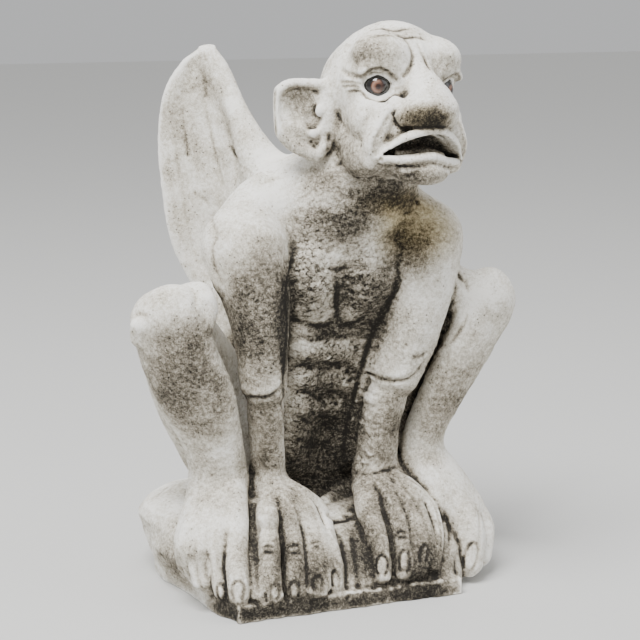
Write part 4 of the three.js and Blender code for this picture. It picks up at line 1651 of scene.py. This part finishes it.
    def piece(self, name: str, points: np.ndarray, quads: np.ndarray, values: dict) -> bpy.types.Object:
        """Makes one piece of the surface.

        Args:
            name: its name.
            points: its vertices, in millimetres.
            quads: its faces, as their four vertices.
            values: for each attribute, one value for each vertex.

        Returns:
            The closed object, with its mesh in metres.
        """
        mesh = bpy.data.meshes.new(name)
        mesh.vertices.add(len(points))
        mesh.vertices.foreach_set("co", (points * MM).astype(np.float32).ravel())
        mesh.loops.add(quads.size)
        mesh.loops.foreach_set("vertex_index", quads.astype(np.int32).ravel())
        mesh.polygons.add(len(quads))
        mesh.polygons.foreach_set("loop_start", np.arange(0, quads.size, 4, dtype=np.int32))
        mesh.update(calc_edges=True)
        mesh.validate()
        mesh.shade_smooth()
        for key, value in values.items():
            layer = mesh.attributes.new(key, "FLOAT", "POINT")
            layer.data.foreach_set("value", value.astype(np.float32))
        piece = bpy.data.objects.new(name, mesh)
        bpy.context.scene.collection.objects.link(piece)
        before = 2 * len(quads)
        if before > TRIANGLE_LIMIT:
            bpy.ops.object.select_all(action="DESELECT")
            piece.select_set(True)
            bpy.context.view_layer.objects.active = piece
            modifier = piece.modifiers.new("thin", "DECIMATE")
            modifier.ratio = TRIANGLE_LIMIT / before
            bpy.ops.object.modifier_apply(modifier=modifier.name)
        log.info("%s: %d triangles from %d", name, sum(len(f.vertices) - 2 for f in mesh.polygons), before)
        return piece


def linear(hex_colour: str) -> tuple:
    """An sRGB colour such as "d8d2c2" as linear red, green, blue and alpha.

    Args:
        hex_colour: its six hex digits.

    Returns:
        The four values.
    """
    channels = [int(hex_colour[i:i + 2], 16) / 255 for i in (0, 2, 4)]
    return tuple(c / 12.92 if c <= 0.04045 else ((c + 0.055) / 1.055) ** 2.4 for c in channels) + (1.0,)


def add_node(tree: bpy.types.NodeTree, kind: str, settings: Optional[dict] = None, **links) -> bpy.types.Node:
    """Adds a node to a material.

    Args:
        tree: the material's nodes.
        kind: the node's type, without "ShaderNode".
        settings: its own settings, and the values of sockets by their number.
        links: for each socket, "i" and its number, and the output that feeds it.

    Returns:
        The node.
    """
    node = tree.nodes.new("ShaderNode" + kind)
    for name, value in (settings or {}).items():
        if isinstance(name, int):
            node.inputs[name].default_value = value
        else:
            setattr(node, name, value)
    for name, output in links.items():
        tree.links.new(output, node.inputs[int(name[1:])])
    return node


def set_stops(node: bpy.types.Node, stops: Sequence[tuple]) -> None:
    """Fills a colour ramp.

    Args:
        node: the ramp.
        stops: for each stop its place and its sRGB colour.
    """
    elements = node.color_ramp.elements
    while len(elements) < len(stops):
        elements.new(0.5)
    for element, (position, colour) in zip(elements, stops):
        element.position = position
        element.color = linear(colour)


@dataclass(frozen=True)
class Stone:
    """Cast stone: fine, matt and pale where rain washes it, with grey-brown dirt, ochre algae and painted
    shade.

    A crushed-stone mix is tamped into a mould, so the eye sees a dry, sandy skin with small open
    pores. The dirt and the painted shade go on as one amount, which the stops turn from clean to black.

    Args:
        shades: the stops from clean to darkest, for dirt and painted shade, each with its place and colour.
        ochre: the tint of the algae.
        blotch: the width of the cloudy patches, in millimetres.
        speck: the width of the specks.
        grain: the width of the sand grains, drawn as coarse as the render needs.
        tuft: the spacing of the cracks between locks of hair.
        pore: the spacing of the open pores.
    """

    shades: Sequence[tuple] = (
        (0.0, "f6f4ee"), (0.28, "cfc9bb"), (0.48, "a1998a"), (0.68, "6b6457"), (0.86, "3f3b34"),
            (1.0, "26231f")
    )
    ochre: str = "ece2c4"
    blotch: float = 16.667
    speck: float = 2.381
    grain: float = 0.6667
    tuft: float = 3.3333
    pore: float = 3.3333

    def make(self) -> bpy.types.Material:
        """Creates the material. Sockets are given by number, so 2 is a noise's scale and 3 its detail."""
        material = bpy.data.materials.new("weathered_cast_stone")
        material.use_nodes = True
        tree = material.node_tree
        shader = tree.nodes["Principled BSDF"]
        shader.inputs["Roughness"].default_value = 0.93
        shader.inputs["Specular IOR Level"].default_value = 0.25
        place = add_node(tree, "TexCoord").outputs["Object"]
        dirt_and_shade = add_node(tree, "Attribute", {"attribute_name": "soil_and_shade"}).outputs["Fac"]
        tint = add_node(tree, "Attribute", {"attribute_name": "ochre"}).outputs["Fac"]
        hair = add_node(tree, "Attribute", {"attribute_name": "hair"}).outputs["Fac"]
        blotch = add_node(tree, "TexNoise", {2: 1 / (self.blotch * MM),
            3: 6.0, 4: 0.66}, i0=place).outputs[0]
        speck = add_node(tree, "TexNoise", {2: 1 / (self.speck * MM), 3: 5.0, 4: 0.7}, i0=place).outputs[0]
        grain = add_node(tree, "TexNoise", {2: 1 / (self.grain * MM), 3: 3.0, 4: 0.6}, i0=place).outputs[0]
        # Cracks between the locks of hair, lying flat across the body
        lying = add_node(tree, "Mapping", {3: (1.0, 1.0, 1.6)}, i0=place).outputs[0]
        locks = add_node(tree, "TexNoise", {2: 1 / (self.tuft * MM),
            3: 4.0, 4: 0.62, 8: 0.8}, i0=lying).outputs[0]
        soft = {"interpolation_type": "SMOOTHSTEP"}
        gaps = add_node(tree, "MapRange", soft | {1: 0.5, 2: 0.64}, i0=locks).outputs[0]
        both = {"operation": "MULTIPLY"}
        cracks = add_node(tree, "Math", both, i0=gaps, i1=hair).outputs[0]
        # Open pores, in the patches where the mix was poor
        spots = add_node(tree, "TexVoronoi", {2: 1 / (self.pore * MM)}, i0=place).outputs[0]
        holes = add_node(tree, "MapRange", soft | {1: 0.1, 2: 0.22, 3: 1.0, 4: 0.0}, i0=spots).outputs[0]
        poor = add_node(tree, "MapRange", soft | {1: 0.45, 2: 0.58}, i0=blotch).outputs[0]
        pores = add_node(tree, "Math", both, i0=holes, i1=poor).outputs[0]
        # The amount of dirt and painted shade, speckled most where it is thick
        gather = {"operation": "MULTIPLY_ADD"}
        clouds = add_node(tree, "Math", gather | {1: 0.7, 2: -0.26}, i0=blotch).outputs[0]
        amount = add_node(tree, "Math", {"operation": "ADD"}, i0=dirt_and_shade, i1=clouds).outputs[0]
        for pattern, growth, least in ((speck, 0.6, 0.85), (grain, 0.7, 0.6)):
            swing = add_node(tree, "Math", {"operation": "SUBTRACT", 1: 0.5}, i0=pattern).outputs[0]
            share = add_node(tree, "Math", gather | {1: growth, 2: least}, i0=dirt_and_shade).outputs[0]
            amount = add_node(tree, "Math", gather, i0=swing, i1=share, i2=amount).outputs[0]
        # Hair a little lighter; its cracks and the open pores darker, with dirt and painted shade
        for pattern, share in ((cracks, 0.42), (hair, -0.1), (pores, 0.4)):
            amount = add_node(tree, "Math", gather | {1: share}, i0=pattern, i2=amount).outputs[0]
        shades = add_node(tree, "ValToRGB", None, i0=amount)
        set_stops(shades, self.shades)
        multiply = {"data_type": "RGBA", "blend_type": "MULTIPLY", 7: linear(self.ochre)}
        warm = add_node(tree, "Mix", multiply, i0=tint, i6=shades.outputs[0])
        tree.links.new(warm.outputs[2], shader.inputs["Base Color"])
        height = add_node(tree, "Math", gather | {1: 0.8, 2: 0.0}, i0=speck).outputs[0]
        for pattern, share in ((grain, 0.35), (cracks, -1.3), (pores, -0.8)):
            height = add_node(tree, "Math", gather | {1: share}, i0=pattern, i2=height).outputs[0]
        bump = add_node(tree, "Bump", {0: 0.75, 1: 0.8 * MM})
        tree.links.new(height, bump.inputs["Height"])
        tree.links.new(bump.outputs[0], shader.inputs["Normal"])
        return material


@dataclass(frozen=True)
class Eye:
    """A glass eye, with painted shade on the side of it that the iris is sunk behind.

    Args:
        centre: its middle, in millimetres.
        radius: its radius.
        gaze: the direction that it looks in.
        shade_span: where across it the painted shade starts and is full, in shares of the radius.
    """

    centre: Point
    radius: float
    gaze: Point
    shade_span: tuple = (-0.12, 0.4)

    def make(self, name: str, material: bpy.types.Material) -> bpy.types.Object:
        """Creates the ball, with the angle from the gaze and the painted shade of the lid on every vertex.

        Args:
            name: its name.
            material: its finish.

        Returns:
            The ball.
        """
        bpy.ops.mesh.primitive_uv_sphere_add(segments=72, ring_count=90, radius=self.radius * MM)
        ball = bpy.context.object
        ball.name = name
        mesh = ball.data
        spots = np.empty(len(mesh.vertices) * 3, np.float32)
        mesh.vertices.foreach_get("co", spots)
        spots = spots.reshape(-1, 3) / (self.radius * MM)
        angle = np.degrees(np.arccos(np.clip(spots[:, 2], -1, 1)))
        layer = mesh.attributes.new("off_gaze", "FLOAT", "POINT")
        layer.data.foreach_set("value", angle.astype(np.float32))
        # Painted shade of the lid across one side of the ball
        shade = mesh.attributes.new("shade", "FLOAT", "POINT")
        shade.data.foreach_set("value", ramp(spots[:, 0], *self.shade_span))
        turn = Vector(self.gaze).to_track_quat("Z", "Y").to_matrix().to_4x4()
        mesh.transform(Matrix.Translation([float(c) * MM for c in self.centre]) @ turn)
        mesh.shade_smooth()
        mesh.materials.append(material)
        return ball


@dataclass(frozen=True)
class EyeGlass:
    """Blown glass painted behind: a red-brown iris in a near-black ball, under a clear wet gloss.

    Args:
        bands: the painted bands, each with its angle from the gaze in shares of 90 degrees.
        shadow: the painted shade that the glass is dimmed to on the side that the iris is sunk behind.
        fleck: the width of the iris's flecks, in millimetres.
    """

    bands: Sequence[tuple] = (
        (0.0, "1c0f0b"), (0.1, "331a12"), (0.16, "74503f"), (0.26, "987564"), (0.32, "6b4a3a"),
        (0.37, "0b0706"), (0.55, "120d0a"), (0.9, "1c1612"),
    )
    shadow: str = "5a4a44"
    fleck: float = 1.1111

    def make(self) -> bpy.types.Material:
        """Creates the material, with the bands a little uneven."""
        material = bpy.data.materials.new("painted_eye_glass")
        material.use_nodes = True
        tree = material.node_tree
        shader = tree.nodes["Principled BSDF"]
        shader.inputs["Roughness"].default_value = 0.16
        shader.inputs["Coat Weight"].default_value = 0.6
        angle = add_node(tree, "Attribute", {"attribute_name": "off_gaze"}).outputs["Fac"]
        dimness = add_node(tree, "Attribute", {"attribute_name": "shade"}).outputs["Fac"]
        place = add_node(tree, "TexCoord").outputs["Object"]
        flecks = add_node(tree, "TexNoise", {2: 1 / (self.fleck * MM), 3: 3.0, 4: 0.6}, i0=place).outputs[0]
        gather = {"operation": "MULTIPLY_ADD"}
        wobble = add_node(tree, "Math", gather | {1: 0.06, 2: -0.03}, i0=flecks).outputs[0]
        share = add_node(tree, "Math", gather | {1: 1 / 90.0}, i0=angle, i2=wobble).outputs[0]
        bands = add_node(tree, "ValToRGB", None, i0=share)
        set_stops(bands, self.bands)
        # Painted shade on the side of the ball under the lid
        multiply = {"data_type": "RGBA", "blend_type": "MULTIPLY", 7: linear(self.shadow)}
        dimmed = add_node(tree, "Mix", multiply, i0=dimness, i6=bands.outputs[0])
        tree.links.new(dimmed.outputs[2], shader.inputs["Base Color"])
        return material


GAZE_OUT = 2.0
GAZE_DOWN = -0.06


@dataclass(frozen=True)
class Studio:
    """A pale floor under a bright sky, with one large soft lamp from the upper left."""

    floor: str = "cfcfcd"
    horizon: str = "dadbdc"
    zenith: str = "ffffff"
    sky_strength: float = 0.8
    lamps: Sequence[tuple] = (
        ("key", 104.0, 1.2, (-0.9, -0.8, 2.3), (0.0, 0.0, 0.25)),
        ("fill", 8.0, 1.4, (1.6, -1.2, 1.4), (0.0, 0.0, 0.2)),
    )

    def make(self) -> None:
        """Creates the floor, the sky and the lamps."""
        bpy.ops.mesh.primitive_plane_add(size=14)
        floor = bpy.context.object
        floor.name = "floor"
        material = bpy.data.materials.new("pale_floor")
        material.use_nodes = True
        shader = material.node_tree.nodes["Principled BSDF"]
        shader.inputs["Base Color"].default_value = linear(self.floor)
        shader.inputs["Roughness"].default_value = 0.85
        floor.data.materials.append(material)
        world = bpy.data.worlds.new("sky")
        bpy.context.scene.world = world
        world.use_nodes = True
        tree = world.node_tree
        spot = add_node(tree, "TexCoord").outputs["Generated"]
        split = add_node(tree, "SeparateXYZ", None, i0=spot)
        sky = add_node(tree, "ValToRGB", None, i0=split.outputs[2])
        sky.color_ramp.elements[0].color = linear(self.horizon)
        sky.color_ramp.elements[1].position = 0.8
        sky.color_ramp.elements[1].color = linear(self.zenith)
        tree.links.new(sky.outputs[0], tree.nodes["Background"].inputs[0])
        tree.nodes["Background"].inputs[1].default_value = self.sky_strength
        for name, energy, size, place, aim in self.lamps:
            data = bpy.data.lights.new(name, "AREA")
            data.energy = energy
            data.size = size
            lamp = bpy.data.objects.new(name, data)
            lamp.location = place
            lamp.rotation_euler = (Vector(aim) - Vector(place)).to_track_quat("-Z", "Y").to_euler()
            bpy.context.scene.collection.objects.link(lamp)


def main() -> None:
    """Builds the camera, the light, the floor and every piece."""
    logging.basicConfig(level=logging.INFO, format="%(message)s")
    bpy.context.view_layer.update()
    VIEW.make()
    maker = Gargoyle()
    stone = Stone().make()
    for piece in maker.cast():
        piece.data.materials.append(stone)
        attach(piece, "root")
        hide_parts("gargoyle")
    glass = EyeGlass().make()
    head = Head()
    for side in Side:
        s = side.value
        x, y, z = head.eye
        out = math.radians(head.outward + GAZE_OUT)
        gaze = head.stand.axes() @ (s * math.sin(out), -math.cos(out), GAZE_DOWN)
        centre = head.stand.place((s * x, y, z))[0]
        ball = Eye(centre, head.eye_radius, gaze).make(f"eye_{side.name.lower()}", glass)
        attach(ball, "root")
        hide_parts(f"glass_eye_{side.name.lower()}")
        log.info("%s", ball.name)
    Studio().make()


if __name__ == "__main__":
    main()
